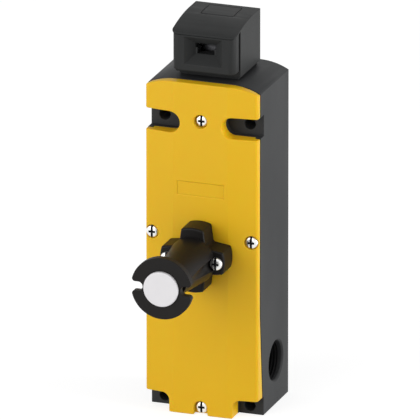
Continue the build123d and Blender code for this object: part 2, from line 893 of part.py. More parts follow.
with BuildPart() as terminal_screws:
    for x, z in terminals:
        with Locations(Plane.XZ.offset(block_ledge_depth + contact_thickness) * Location((x, z, 0))):
            cross_screw(
                terminal_head_radius, terminal_head_height, terminal_shank_radius, terminal_screw_length
            )
            cross_recess(terminal_head_radius, terminal_head_height)
terminal_screws.part.label = "terminal_screws"
export_step(terminal_screws.part, "parts/terminal_screws.step")

with BuildPart() as head_screws:
    for x, y in head_screw_places:
        under_roof = Plane(
            origin=(x, y, level(roof_height - wall)), x_dir=(1, 0, 0), z_dir=(0, 0, -1)
        )
        with Locations(under_roof):
            cross_screw(head_screw_radius, head_screw_height, head_screw_shank, head_screw_length)
            cross_recess(head_screw_radius, head_screw_height)
head_screws.part.label = "head_screws"
export_step(head_screws.part, "parts/head_screws.step")

# Lock slide: it goes under the tappet's collar once the tappet has risen far enough

slide_top = collar_foot + nose_rise
slide_middle = slide_top - slide_height / 2
slide_tip = -collar_radius + slide_bite - slide_travel
slide_back = -(half_width - wall - slide_room)
slide_pin_x = slide_tip - slide_pin_setback

with BuildPart() as lock_slide:
    with BuildSketch(Plane.YZ.offset(slide_tip)):
        with Locations((-cam_depth, level(slide_middle))):
            Rectangle(slide_width, slide_height)
    extrude(amount=slide_back - slide_tip)
    tip_edges = lock_slide.faces().sort_by(Axis.X)[-1].edges().filter_by(Axis.Z)
    chamfer(tip_edges, length=slide_chamfer)
    with BuildSketch(Plane.XZ.offset(cam_depth)):
        with Locations((slide_pin_x, level(slide_middle))):
            Circle(slide_pin_radius + seat)
    extrude(amount=-slide_width / 2, mode=Mode.SUBTRACT)
lock_slide.part.label = "lock_slide"
export_step(lock_slide.part, "parts/lock_slide.step")

with BuildPart() as lock_pin:
    with BuildSketch(Plane.XZ.offset(cam_depth)):
        with Locations((slide_pin_x, level(slide_middle))):
            Circle(slide_pin_radius)
    extrude(amount=-(cam_depth - link_front + link_thickness))
lock_pin.part.label = "lock_pin"
export_step(lock_pin.part, "parts/lock_pin.step")

guide_back = cam_depth - slide_width / 2 - running - guide_wall
guide_low = slide_top - slide_height - running - guide_wall
guide_left = -(half_width - wall - seat)
link_left = slide_pin_x - slide_pin_radius - link_end_rim
guide_foot_width = link_left - guide_foot_gap - guide_left
with BuildPart() as lock_guide:
    with BuildSketch(Plane.YZ.offset(-guide_end)):
        with Locations((-cam_depth, level(slide_middle))):
            Rectangle(slide_width + 2 * (running + guide_wall), slide_height + 2 * (running + guide_wall))
            Rectangle(slide_width + 2 * running, slide_height + 2 * running, mode=Mode.SUBTRACT)
    extrude(amount=guide_left + guide_end)
    # Foot that stands on the back wall
    with BuildSketch(Plane.XZ.offset(wall)):
        with Locations((guide_left + guide_foot_width / 2, level(slide_middle))):
            Rectangle(guide_foot_width, slide_height + 2 * (running + guide_wall))
    extrude(amount=guide_back - wall)
    # Way of the drive pin
    with BuildSketch(Plane.XZ.offset(guide_back)):
        with Locations((slide_pin_x, level(slide_middle))):
            Circle(slide_pin_radius + free_gap)
        with Locations(((slide_pin_x - guide_end) / 2, level(slide_middle))):
            Rectangle(-guide_end - slide_pin_x, 2 * (slide_pin_radius + free_gap))
    extrude(amount=guide_wall + running, mode=Mode.SUBTRACT)
lock_guide.part.label = "lock_guide"
export_step(lock_guide.part, "parts/lock_guide.step")

# Solenoid

yoke_breadth = 2 * (coil_depth - wall)
coil_foot = yoke_foot + yoke_thickness
coil_top = yoke_top - yoke_thickness
plunger_bore = plunger_radius + running
bobbin_radius = plunger_bore + bobbin_wall


def standing_ring(radius, bore, low, high):
    """A ring or disc on the solenoid's upright axis, between two heights."""
    with Locations((0, -coil_depth, level(low))):
        Cylinder(radius, high - low, align=(Align.CENTER, Align.CENTER, Align.MIN))
    if bore:
        with Locations((0, -coil_depth, level(low))):
            Cylinder(
                bore, high - low, align=(Align.CENTER, Align.CENTER, Align.MIN), mode=Mode.SUBTRACT
            )


with BuildPart() as solenoid_yoke:
    with BuildSketch(Plane.XZ.offset(wall)):
        with Locations((0, level((yoke_foot + yoke_top) / 2))):
            Rectangle(yoke_width, yoke_top - yoke_foot)
            Rectangle(
                yoke_width - 2 * yoke_thickness, yoke_top - yoke_foot - 2 * yoke_thickness, mode=Mode.SUBTRACT
            )
    extrude(amount=yoke_breadth)
    with BuildSketch(Plane.XY.offset(level(yoke_top))):
        with Locations((0, -coil_depth)):
            Circle(plunger_radius + free_gap)
    extrude(amount=-yoke_thickness, mode=Mode.SUBTRACT)
solenoid_yoke.part.label = "solenoid_yoke"
export_step(solenoid_yoke.part, "parts/solenoid_yoke.step")

with BuildPart() as solenoid_bobbin:
    with BuildSketch(Plane.YZ):
        with BuildLine():
            Polyline(
                (-coil_depth + plunger_bore, level(coil_foot)),
                (-coil_depth + coil_radius, level(coil_foot)),
                (-coil_depth + coil_radius, level(coil_foot + bobbin_flange)),
                (-coil_depth + bobbin_radius, level(coil_foot + bobbin_flange)),
                (-coil_depth + bobbin_radius, level(coil_top - bobbin_flange)),
                (-coil_depth + coil_radius, level(coil_top - bobbin_flange)),
                (-coil_depth + coil_radius, level(coil_top)),
                (-coil_depth + plunger_bore, level(coil_top)),
                close=True,
            )
        make_face()
    revolve(axis=Axis((0, -coil_depth, 0), (0, 0, 1)))
solenoid_bobbin.part.label = "solenoid_bobbin"
export_step(solenoid_bobbin.part, "parts/solenoid_bobbin.step")

with BuildPart() as solenoid_coil:
    standing_ring(
        coil_radius - bobbin_wall / 2,
        bobbin_radius + seat,
        coil_foot + bobbin_flange + seat,
        coil_top - bobbin_flange - seat,
    )
solenoid_coil.part.label = "solenoid_coil"
export_step(solenoid_coil.part, "parts/solenoid_coil.step")

with BuildPart() as solenoid_core:
    standing_ring(plunger_radius, 0, coil_foot, plunger_foot - free_gap)
solenoid_core.part.label = "solenoid_core"
export_step(solenoid_core.part, "parts/solenoid_core.step")

with BuildPart() as armature:
    standing_ring(plunger_radius, 0, plunger_foot, armature_disc_height)
    standing_ring(
        armature_disc_radius, 0, armature_disc_height, armature_disc_height + armature_disc_thickness
    )
armature.part.label = "armature"
export_step(armature.part, "parts/armature.step")

# Link plate: its slanted slot turns the plunger's stroke into the slide's
link_foot = armature_disc_height + armature_disc_thickness
link_shoulder = slide_middle - armature_travel - slide_pin_radius - link_rim
link_top = slide_middle + slide_pin_radius + link_rim
slot_slope = degrees(atan2(armature_travel, slide_travel))
with BuildPart() as armature_link:
    with BuildSketch(Plane.XZ.offset(link_front)):
        with BuildLine():
            Polyline(
                (link_side, level(link_foot)),
                (link_side, level(link_top)),
                (link_left, level(link_top)),
                (link_left, level(link_shoulder)),
                (-link_side, level(link_shoulder)),
                (-link_side, level(link_foot)),
                close=True,
            )
        make_face()
        slot_middle = (
            slide_pin_x + slide_travel / 2,
            level(slide_middle - armature_travel / 2),
        )
        with Locations(slot_middle):
            SlotCenterToCenter(
                hypot(slide_travel, armature_travel),
                2 * (slide_pin_radius + running),
                rotation=-slot_slope,
                mode=Mode.SUBTRACT,
            )
    extrude(amount=-link_thickness)
armature_link.part.label = "armature_link"
export_step(armature_link.part, "parts/armature_link.step")

with BuildPart() as armature_spring:
    spring(armature_spring_radius, yoke_top + seat, armature_disc_height - seat, coil_depth)
armature_spring.part.label = "armature_spring"
export_step(armature_spring.part, "parts/armature_spring.step")

coil_terminal_x = (yoke_width + coil_terminal_width) / 2
coil_terminal_middle = coil_terminal_foot + coil_terminal_height / 2
coil_terminals_at = [
    (coil_terminal_x, level(coil_terminal_middle + end * coil_terminal_pitch / 2)) for end in (-1, 1)
]
with BuildPart() as coil_terminals:
    with BuildSketch(Plane.XZ.offset(wall)):
        with Locations((coil_terminal_x, level(coil_terminal_middle))):
            Rectangle(coil_terminal_width, coil_terminal_height)
    extrude(amount=coil_terminal_depth - wall)
    with BuildSketch(Plane.XZ.offset(coil_terminal_depth)):
        with Locations(*coil_terminals_at):
            Circle(terminal_shank_radius + seat)
    extrude(amount=-terminal_screw_length, mode=Mode.SUBTRACT)
coil_terminals.part.label = "coil_terminals"
export_step(coil_terminals.part, "parts/coil_terminals.step")

with BuildPart() as coil_terminal_screws:
    for x, z in coil_terminals_at:
        with Locations(Plane.XZ.offset(coil_terminal_depth) * Location((x, z, 0))):
            cross_screw(
                terminal_head_radius, terminal_head_height, terminal_shank_radius, terminal_screw_length
            )
            cross_recess(terminal_head_radius, terminal_head_height)
coil_terminal_screws.part.label = "coil_terminal_screws"
export_step(coil_terminal_screws.part, "parts/coil_terminal_screws.step")

# Escape release on the lid

release_plane = Plane.XY.offset(level(release_height))
release_axis = Axis((0, 0, level(release_height)), (0, 1, 0))
flange_depth = lid_depth + flange_thickness

with BuildPart() as release_guide:
    # Four arms that widen towards the middle, with hollow corners between them
    with BuildSketch(Plane.XZ.offset(lid_depth)):
        with Locations((0, level(release_height))):
            Circle(flange_radius)
        for turn in (0, 90, 180, 270):
            with Locations(Location((0, level(release_height)), turn)):
                Polygon(
                    (arm_root, arm_root),
                    (flange_radius, arm_half_width),
                    (flange_radius, flange_radius),
                    (arm_half_width, flange_radius),
                    align=None,
                    mode=Mode.SUBTRACT,
                )
        fillet(vertices(), radius=flange_fillet)
    extrude(amount=flange_thickness)
    front_rim = release_guide.faces().sort_by(Axis.Y)[0].edges()
    fillet(front_rim, radius=flange_round)
    # Neck and the spigot that goes through the lid
    with BuildSketch(release_plane):
        with BuildLine():
            Polyline(
                (0, -spigot_back),
                (spigot_radius, -spigot_back),
                (spigot_radius, -flange_depth + neck_lip),
                (neck_radius_back, -flange_depth),
                (neck_radius_front, -neck_depth),
                (0, -neck_depth),
                close=True,
            )
        make_face()
    revolve(axis=release_axis)
    # Bore of the stem, with the groove of the seal
    with BuildSketch(release_plane):
        with BuildLine():
            Polyline(
                (0, -spigot_back),
                (stem_radius + running, -spigot_back),
                (stem_radius + running, -seal_ring_depth + seal_ring_radius + seat),
                (stem_radius + seal_room, -seal_ring_depth + seal_ring_radius + seat),
                (stem_radius + seal_room, -seal_ring_depth - seal_ring_radius - seat),
                (stem_radius + running, -seal_ring_depth - seal_ring_radius - seat),
                (stem_radius + running, -neck_depth),
                (0, -neck_depth),
                close=True,
            )
        make_face()
    revolve(axis=release_axis, mode=Mode.SUBTRACT)
    # Grooves in the neck for the screw heads and the driver
    with BuildSketch(Plane.XZ.offset(flange_depth)):
        with Locations(*release_screws_at):
            Circle(release_screw_radius + head_clearance)
    extrude(amount=neck_depth - flange_depth, mode=Mode.SUBTRACT)
    with BuildSketch(Plane.XZ.offset(lid_depth)):
        with Locations(*release_screws_at):
            Circle(release_screw_shank + shank_clearance)
    extrude(amount=flange_thickness, mode=Mode.SUBTRACT)
release_guide.part.label = "release_guide"
export_step(release_guide.part, "parts/release_guide.step")

with BuildPart() as release_screws:
    for x, z in release_screws_at:
        with Locations(Plane.XZ.offset(flange_depth) * Location((x, z, 0))):
            cross_screw(
                release_screw_radius,
                release_screw_head,
                release_screw_shank,
                flange_depth - spigot_back,
            )
            cross_recess(release_screw_radius, release_screw_head)
release_screws.part.label = "release_screws"
export_step(release_screws.part, "parts/release_screws.step")

with BuildPart() as release_seal:
    with BuildSketch(release_plane):
        with Locations((stem_radius + running + seal_ring_radius, -seal_ring_depth)):
            Circle(seal_ring_radius)
    revolve(axis=release_axis)
release_seal.part.label = "release_seal"
export_step(release_seal.part, "parts/release_seal.step")

with BuildPart() as release_knob:
    # Disc with two finger notches
    with BuildSketch(Plane.XZ.offset(disc_depth - disc_thickness)):
        with Locations((0, level(release_height))):
            Circle(disc_radius)
        for side in (-1, 1):
            with Locations((side * disc_radius, level(release_height))):
                SlotOverall(
                    2 * (disc_radius - disc_notch_reach), disc_notch_width, mode=Mode.SUBTRACT
                )
        notch_corners = vertices().sort_by_distance((0, level(release_height)))[-4:]
        fillet(notch_corners, radius=disc_round)
    extrude(amount=disc_thickness)
    rims = release_knob.faces().filter_by(Axis.Y).edges()
    fillet(rims, radius=disc_edge_round)
    # Stem, and the thin tail behind it
    with BuildSketch(release_plane):
        with BuildLine():
            Polyline(
                (0, -tail_back),
                (tail_radius - tail_chamfer, -tail_back),
                (tail_radius, -tail_back - tail_chamfer),
                (tail_radius, -stem_back),
                (stem_radius, -stem_back),
                (stem_radius, -disc_depth + disc_thickness / 2),
                (0, -disc_depth + disc_thickness / 2),
                close=True,
            )
        make_face()
    revolve(axis=release_axis)
    with BuildSketch(Plane.XZ.offset(disc_depth)):
        with Locations((0, level(release_height))):
            Circle(cap_radius + seat)
    extrude(amount=-cap_sink, mode=Mode.SUBTRACT)
release_knob.part.label = "release_knob"
export_step(release_knob.part, "parts/release_knob.step")

with BuildPart() as knob_cap:
    with BuildSketch(Plane.XZ.offset(disc_depth - cap_sink)):
        with Locations((0, level(release_height))):
            Circle(cap_radius)
    extrude(amount=cap_sink + cap_proud)
    cap_rim = knob_cap.faces().sort_by(Axis.Y)[0].edges()
    fillet(cap_rim, radius=cap_round)
knob_cap.part.label = "knob_cap"
export_step(knob_cap.part, "parts/knob_cap.step")

with BuildPart() as release_stop:
    with BuildSketch(Plane.XZ.offset(spigot_back - free_gap)):
        with Locations((0, level(release_height))):
            Circle(stop_radius)
            Circle(tail_radius, mode=Mode.SUBTRACT)
    extrude(amount=-stop_thickness)
release_stop.part.label = "release_stop"
export_step(release_stop.part, "parts/release_stop.step")
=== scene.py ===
import json
import math

import bmesh
import bpy
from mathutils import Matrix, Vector

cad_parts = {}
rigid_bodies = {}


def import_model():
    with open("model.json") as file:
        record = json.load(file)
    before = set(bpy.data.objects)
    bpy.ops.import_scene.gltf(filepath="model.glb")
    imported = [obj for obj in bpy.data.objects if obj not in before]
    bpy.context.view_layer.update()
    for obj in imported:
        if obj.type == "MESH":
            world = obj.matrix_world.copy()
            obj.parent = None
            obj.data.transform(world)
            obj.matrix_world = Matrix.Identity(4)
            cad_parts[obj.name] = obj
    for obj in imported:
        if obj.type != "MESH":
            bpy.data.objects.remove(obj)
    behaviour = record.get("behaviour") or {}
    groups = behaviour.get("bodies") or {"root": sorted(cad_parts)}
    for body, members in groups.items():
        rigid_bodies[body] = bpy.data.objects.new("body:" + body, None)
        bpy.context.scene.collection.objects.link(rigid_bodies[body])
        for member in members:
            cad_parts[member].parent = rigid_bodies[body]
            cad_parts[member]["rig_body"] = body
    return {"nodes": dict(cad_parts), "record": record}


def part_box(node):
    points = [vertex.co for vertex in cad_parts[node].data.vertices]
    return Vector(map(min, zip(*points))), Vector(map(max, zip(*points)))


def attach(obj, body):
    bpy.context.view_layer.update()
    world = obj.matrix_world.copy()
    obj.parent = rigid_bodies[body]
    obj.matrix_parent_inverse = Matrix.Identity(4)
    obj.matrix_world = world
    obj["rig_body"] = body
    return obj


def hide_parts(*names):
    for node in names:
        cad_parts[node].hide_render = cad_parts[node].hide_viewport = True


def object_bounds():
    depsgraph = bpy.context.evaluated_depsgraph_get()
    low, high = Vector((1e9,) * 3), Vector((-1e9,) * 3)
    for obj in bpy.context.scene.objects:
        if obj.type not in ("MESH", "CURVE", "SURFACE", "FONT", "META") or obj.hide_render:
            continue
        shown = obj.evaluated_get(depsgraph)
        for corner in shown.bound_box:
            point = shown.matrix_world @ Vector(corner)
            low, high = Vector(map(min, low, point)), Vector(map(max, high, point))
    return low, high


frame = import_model()
cad_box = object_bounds()

bl_info = {
    "name": "Tongue Interlock Switch",
    "version": (1, 0, 0),
    "blender": (4, 5, 0),
    "location": "View3D > Sidebar > Interlock",
    "description": "Dresses the packed solids of a solenoid interlock switch and sets its studio",
    "category": "Object",
}

# Everything is in metres unless a name says otherwise.
MILLIMETRE = 0.001

# The photograph's camera, fitted to the switch's own edges. Pixels count in its 420 by 420 frame.
PHOTO_PIXELS = 420
PHOTO_CENTRE_PIXEL = 210.0
AIM_POINT = (0.0, -0.020, 0.0204)
AIM_PIXEL = (217.8, 208.1)
PIXELS_PER_METRE = 2205.6
SENSOR_MILLIMETRES = 36.0

# Studio: softboxes are placed from the switch's middle, the floor reaches some diagonals of the
# switch to each side, and the view some camera distances
FLOOR_GAP = 0.1 * MILLIMETRE
FLOOR_REACH = 3
VIEW_REACH = 4
SIDE_LIGHT_PLACE = (1.4, 0.1, 0.2)
SIDE_LIGHT_SIZE = 0.9
FRONT_LIGHT_PLACE = (-0.8, -1.45, 0.5)
FRONT_LIGHT_SIZE = 1.7

# Finishes: the middle range of a noise is used, and the lid's plastic lets some light through
NOISE_LOW = 0.3
NOISE_HIGH = 0.7
GLOW_SHARE = 0.35
GLOW_COLOURS = (1.0, 0.3, 0.06)
GLOW_DEPTH = 1.3 * MILLIMETRE

# Cable entries: a plain mouth, then a thread that fades in over one part in THREAD_FADE of its
# length, and whose ends flare out into the bore
ENTRY_RADIUS = 9.25 * MILLIMETRE
ENTRY_MOUTH = 1.4 * MILLIMETRE
THREAD_SPOKES = 97
THREAD_ROWS = 86
THREAD_FADE = 14.0
THREAD_FLARE = 0.8 * MILLIMETRE
THREAD_GAP = 0.06 * MILLIMETRE

# Screws: shares of the head's radius or height, and the powers that square its outline
SLOT_SHARE = 0.36
SLOT_DEPTH_SHARE = 0.8
SLOT_REACH = 3.0
CROSS_SHARE = 0.55
SIDE_POWER = 0.42
CROWN_POWER = 0.55
SEAT_SHARE = 0.97

# Cap, springs and winding
CAP_RIM = 0.45 * MILLIMETRE
CAP_RIM_STEPS = 6
LATHE_STEPS = 96
SPRING_WIRE = 0.8 * MILLIMETRE
SPRING_TURNS = 3.0
COIL_LAYERS = 34

# Mesh work: points that count as one, and angles between faces that stay flat, get a rounded
# edge or stay sharp in the shading
WELD = 0.000002
NET_WELD = 0.00001
FLAT_ANGLE = math.radians(0.4)
ROUNDED_ANGLE = math.radians(28.0)
SHARP_ANGLE = math.radians(32.0)

# Directions, and which way each set of screws faces
FORWARD = Vector((0, -1, 0))
UP = Vector((0, 0, 1))
DOWN = Vector((0, 0, -1))
SCREWS = {
    "cover_screws": FORWARD,
    "release_screws": FORWARD,
    "terminal_screws": FORWARD,
    "coil_terminal_screws": FORWARD,
    "head_screws": DOWN,
}

# Inner solids: those with flat faces get rounded edges, turned ones keep their own mesh
SOFTENED_INSIDE = {
    # The cam wheel's dark steel is painted shade in the head's slot
    "cam_wheel": ("wheel_painted_shade", "cam_steel"),
    "lock_slide": ("steel", "cam_steel"),
    "lock_guide": ("steel", "cam_steel"),
    "armature_link": ("steel", "cam_steel"),
    "solenoid_yoke": ("yoke", "yoke_steel"),
    "contact_block": ("inner", "contact_plastic"),
    "contact_carrier": ("inner", "contact_plastic"),
    "coil_terminals": ("inner", "contact_plastic"),
    "contact_bridges": ("brass", "contact_metal"),
    "fixed_contacts": ("brass", "contact_metal"),
}
PLAIN_INSIDE = {
    "steel": ("cam_axle", "lock_pin"),
    "yoke": ("solenoid_core", "armature"),
    "white": ("tappet", "tappet_guide", "solenoid_bobbin"),
}


def to_linear(red, green, blue):
    """Linear colour from the 0 to 255 values that a colour picker shows."""
    def channel(value):
        share = value / 255
        return share / 12.92 if share <= 0.04045 else ((share + 0.055) / 1.055) ** 2.4
    return tuple(channel(value) for value in (red, green, blue))


# Sizes and colours a user would change


class SwitchColours(bpy.types.PropertyGroup):
    """Base colours of the finishes."""

    lid: bpy.props.FloatVectorProperty(
        name="Lid", description="Yellow of the moulded lid", subtype="COLOR", size=3,
        min=0, max=1, default=to_linear(229, 182, 22),
    )
    case: bpy.props.FloatVectorProperty(
        name="Case", description="Dark grey of the moulded case", subtype="COLOR", size=3,
        min=0, max=1, default=to_linear(50, 51, 52),
    )
    head: bpy.props.FloatVectorProperty(
        name="Head", description="Dark grey of the actuating head", subtype="COLOR", size=3,
        min=0, max=1, default=to_linear(42, 43, 43),
    )
    release: bpy.props.FloatVectorProperty(
        name="Release", description="Black of the escape release", subtype="COLOR", size=3,
        min=0, max=1, default=to_linear(22, 20, 19),
    )
    cap: bpy.props.FloatVectorProperty(
        name="Cap", description="Pale grey of the cap in the knob", subtype="COLOR", size=3,
        min=0, max=1, default=to_linear(226, 224, 226),
    )
    screw: bpy.props.FloatVectorProperty(
        name="Screws", description="Bright zinc plating of the screws", subtype="COLOR", size=3,
        min=0, max=1, default=to_linear(232, 232, 230),
    )


class SwitchSizes(bpy.types.PropertyGroup):
    """Sizes of the detail that the solids leave out."""

    lid_round: bpy.props.FloatProperty(
        name="Lid edge", description="Rounding of the lid's edges", unit="LENGTH",
        min=0.0001, max=0.002, default=0.00055,
    )
    case_round: bpy.props.FloatProperty(
        name="Case edge", description="Rounding of the case's edges", unit="LENGTH",
        min=0.0001, max=0.002, default=0.0003,
    )
    head_round: bpy.props.FloatProperty(
        name="Head edge", description="Rounding of the head's edges", unit="LENGTH",
        min=0.0001, max=0.002, default=0.00025,
    )
    release_round: bpy.props.FloatProperty(
        name="Release edge", description="Rounding of the release's edges", unit="LENGTH",
        min=0.0001, max=0.002, default=0.0002,
    )
    metal_round: bpy.props.FloatProperty(
        name="Metal edge", description="Rounding of stamped and turned edges", unit="LENGTH",
        min=0.00005, max=0.001, default=0.00015,
    )
    thread_pitch: bpy.props.FloatProperty(
        name="Thread pitch", description="Pitch of the cable entries' thread", unit="LENGTH",
        min=0.0005, max=0.003, default=0.0015,
    )
    thread_depth: bpy.props.FloatProperty(
        name="Thread depth", description="Height of the thread's ridge", unit="LENGTH",
        min=0.0001, max=0.001, default=0.0005,
    )


class SwitchStudio(bpy.types.PropertyGroup):
    """Camera and light of the photograph."""

    azimuth: bpy.props.FloatProperty(
        name="Azimuth", description="Camera's turn round the switch", subtype="ANGLE",
        default=math.radians(19.66),
    )
    elevation: bpy.props.FloatProperty(
        name="Elevation", description="Camera's height above the horizon", subtype="ANGLE",
        default=math.radians(19.16),
    )
    distance: bpy.props.FloatProperty(
        name="Distance", description="From the camera to the switch", unit="LENGTH",
        min=1, max=20, default=7.01,
    )
    ambient: bpy.props.FloatProperty(
        name="Ambient", description="Strength of the even light all round", min=0, max=2,
        default=0.4,
    )
    side_power: bpy.props.FloatProperty(
        name="Side light", description="Power of the softbox on the right", subtype="POWER",
        min=0, max=200, default=16.0,
    )
    front_power: bpy.props.FloatProperty(
        name="Front light", description="Power of the softbox in front", subtype="POWER",
        min=0, max=200, default=22.2,
    )
    floor_white: bpy.props.FloatProperty(
        name="Floor", description="Glow that the camera sees of the floor, under its own shading",
        min=0, max=1, default=0.78,
    )
    shadow: bpy.props.FloatProperty(
        name="Shadow", description="How much the object's shadow darkens the floor",
        min=0, max=1, default=0.4,
    )


# Finishes


def node_in(tree, kind, **values):
    """Adds a shader node and sets its plain properties."""
    node = tree.nodes.new(kind)
    for name, value in values.items():
        setattr(node, name, value)
    return node


def blank_material(name):
    """A material with only a principled shader, as (material, tree, shader)."""
    material = bpy.data.materials.new(name)
    material.use_nodes = True
    tree = material.node_tree
    tree.nodes.clear()
    shader = node_in(tree, "ShaderNodeBsdfPrincipled")
    output = node_in(tree, "ShaderNodeOutputMaterial")
    tree.links.new(shader.outputs["BSDF"], output.inputs["Surface"])
    return material, tree, shader


def noise_at(tree, scale, detail, stretch=(1, 1, 1)):
    """Noise on the piece's own coordinates; scale counts features in a metre."""
    place = node_in(tree, "ShaderNodeTexCoord")
    mapping = node_in(tree, "ShaderNodeMapping")
    mapping.inputs["Scale"].default_value = stretch
    noise = node_in(tree, "ShaderNodeTexNoise")
    noise.inputs["Scale"].default_value = scale
    noise.inputs["Detail"].default_value = detail
    tree.links.new(place.outputs["Object"], mapping.inputs["Vector"])
    tree.links.new(mapping.outputs["Vector"], noise.inputs["Vector"])
    return noise.outputs["Fac"]


def spread(tree, source, low, high):
    """Maps a noise to the range from low to high."""
    span = node_in(tree, "ShaderNodeMapRange")
    span.inputs["From Min"].default_value = NOISE_LOW
    span.inputs["From Max"].default_value = NOISE_HIGH
    span.inputs["To Min"].default_value = low
    span.inputs["To Max"].default_value = high
    tree.links.new(source, span.inputs["Value"])
    return span.outputs["Result"]


def tinted(tree, colour, source, change):
    """Colour that wanders about its base by the given share, following a pattern."""
    mix = node_in(tree, "ShaderNodeMix", data_type="RGBA")
    mix.inputs["A"].default_value = (*[channel * (1 - change) for channel in colour], 1)
    mix.inputs["B"].default_value = (*[min(1, channel * (1 + change)) for channel in colour], 1)
    tree.links.new(source, mix.inputs["Factor"])
    return mix.outputs["Result"]


def bumped(tree, shader, source, height):
    """Gives the shader a fine relief of the given height."""
    bump = node_in(tree, "ShaderNodeBump")
    bump.inputs["Distance"].default_value = height
    tree.links.new(source, bump.inputs["Height"])
    tree.links.new(bump.outputs["Normal"], shader.inputs["Normal"])


def moulded_plastic(name, colour, roughness, grain, change=0.035, shine=0.3):
    """Spark-eroded moulding: a fine even grain, faint flow marks and a slightly uneven gloss."""
    material, tree, shader = blank_material(name)
    flow = noise_at(tree, scale=45, detail=2.0, stretch=(1.0, 1.0, 0.35))
    fine = noise_at(tree, scale=2600, detail=2.0)
    uneven = spread(tree, flow, low=roughness - 0.04, high=roughness + 0.05)
    tree.links.new(tinted(tree, colour, flow, change), shader.inputs["Base Color"])
    tree.links.new(uneven, shader.inputs["Roughness"])
    bumped(tree, shader, fine, grain)
    shader.inputs["Specular IOR Level"].default_value = shine
    return material


def translucent(material):
    """Lets a pale plastic glow warmly at its edges and in its own shade."""
    for node in material.node_tree.nodes:
        if node.type == "BSDF_PRINCIPLED":
            node.inputs["Subsurface Weight"].default_value = GLOW_SHARE
            node.inputs["Subsurface Radius"].default_value = GLOW_COLOURS
            node.inputs["Subsurface Scale"].default_value = GLOW_DEPTH
    return material


def smooth_plastic(name, colour, roughness):
    """Polished moulding with a trace of handling."""
    material, tree, shader = blank_material(name)
    smear = noise_at(tree, scale=160, detail=4.0)
    uneven = spread(tree, smear, low=roughness - 0.05, high=roughness + 0.08)
    tree.links.new(tinted(tree, colour, smear, change=0.02), shader.inputs["Base Color"])
    tree.links.new(uneven, shader.inputs["Roughness"])
    bumped(tree, shader, noise_at(tree, scale=900, detail=1.0), height=0.000008)
    return material


def plated_steel(name, colour, roughness, scratch=(1, 1, 1)):
    """Zinc-plated or ground steel with fine marks along one direction."""
    material, tree, shader = blank_material(name)
    marks = noise_at(tree, scale=2400, detail=3.0, stretch=scratch)
    cloud = noise_at(tree, scale=300, detail=3.0)
    uneven = spread(tree, marks, low=roughness - 0.08, high=roughness + 0.12)
    tree.links.new(tinted(tree, colour, cloud, change=0.08), shader.inputs["Base Color"])
    tree.links.new(uneven, shader.inputs["Roughness"])
    bumped(tree, shader, marks, height=0.000006)
    shader.inputs["Metallic"].default_value = 1.0
    return material


def soft_rubber(name, colour):
    """Matt seal rubber."""
    material, tree, shader = blank_material(name)
    bloom = noise_at(tree, scale=700, detail=4.0)
    tree.links.new(tinted(tree, colour, bloom, change=0.12), shader.inputs["Base Color"])
    tree.links.new(spread(tree, bloom, low=0.72, high=0.9), shader.inputs["Roughness"])
    bumped(tree, shader, bloom, height=0.00002)
    return material


def wound_copper(name, colour):
    """Enamelled winding whose low bands are painted darker: painted shade between the turns."""
    material, tree, shader = blank_material(name)
    grooves = noise_at(tree, scale=500, detail=1.0, stretch=(0.02, 0.02, 3.0))
    tree.links.new(tinted(tree, colour, grooves, change=0.3), shader.inputs["Base Color"])
    tree.links.new(spread(tree, grooves, low=0.2, high=0.4), shader.inputs["Roughness"])
    bumped(tree, shader, grooves, height=0.00004)
    shader.inputs["Metallic"].default_value = 0.9
    return material


def finishes():
    """All finishes by name, made once; the screws' recesses, the entries' threads and the cam
    wheel carry painted shade.
    """
    made = finishes.made
    if made:
        return made
    colours = bpy.context.scene.switch_colours
    made["lid"] = translucent(moulded_plastic(
        "lid_yellow", tuple(colours.lid), roughness=0.46, grain=0.000012, change=0.02, shine=0.25
    ))
    made["case"] = moulded_plastic(
        "case_grey", tuple(colours.case), roughness=0.52, grain=0.00003, shine=0.12
    )
    made["head"] = moulded_plastic(
        "head_grey", tuple(colours.head), roughness=0.5, grain=0.000025, shine=0.12
    )
    made["release"] = moulded_plastic(
        "release_black", tuple(colours.release), roughness=0.36, grain=0.00001, shine=0.11
    )
    made["knob"] = moulded_plastic(
        "knob_black", tuple(colours.release), roughness=0.5, grain=0.000015, shine=0.15
    )
    made["cap"] = smooth_plastic("cap_pale", tuple(colours.cap), roughness=0.4)
    made["screw"] = plated_steel("screw_zinc", tuple(colours.screw), roughness=0.3)
    # The slot and cross of each screw get this darker zinc: painted shade in the recess
    made["recess"] = plated_steel("screw_recess_painted_shade", to_linear(46, 46, 48), roughness=0.5)
    # The entries' threads are near black: painted shade inside the cable entries
    made["thread"] = moulded_plastic(
        "entry_thread_painted_shade", to_linear(24, 24, 25), roughness=0.7, grain=0.00003, shine=0.05
    )
    # The cam wheel is darkened so that it reads dark through the head's slot: painted shade
    made["wheel_painted_shade"] = plated_steel("cam_wheel_painted_shade", to_linear(58, 58, 60), roughness=0.45)
    made["rubber"] = soft_rubber("seal_black", to_linear(30, 30, 30))
    made["steel"] = plated_steel(
        "ground_steel", to_linear(170, 170, 168), roughness=0.34, scratch=(8, 1, 1)
    )
    made["yoke"] = plated_steel(
        "yoke_zinc", to_linear(150, 152, 158), roughness=0.42, scratch=(1, 1, 6)
    )
    made["spring"] = plated_steel("spring_wire", to_linear(140, 140, 142), roughness=0.25)
    made["brass"] = plated_steel(
        "contact_brass", to_linear(200, 160, 90), roughness=0.3, scratch=(6, 1, 1)
    )
    made["copper"] = wound_copper("coil_copper", to_linear(176, 92, 48))
    made["white"] = smooth_plastic("inner_white", to_linear(222, 220, 212), roughness=0.5)
    made["inner"] = moulded_plastic(
        "inner_grey", to_linear(120, 120, 118), roughness=0.55, grain=0.00002
    )
    return made


finishes.made = {}


# Mesh helpers


def mesh_object(name, mesh, finish):
    """Puts a mesh into the scene with its finish on every face."""
    piece = bpy.data.objects.new(name, mesh)
    bpy.context.scene.collection.objects.link(piece)
    mesh.materials.clear()
    mesh.materials.append(finish)
    for face in mesh.polygons:
        face.material_index = 0
    return piece


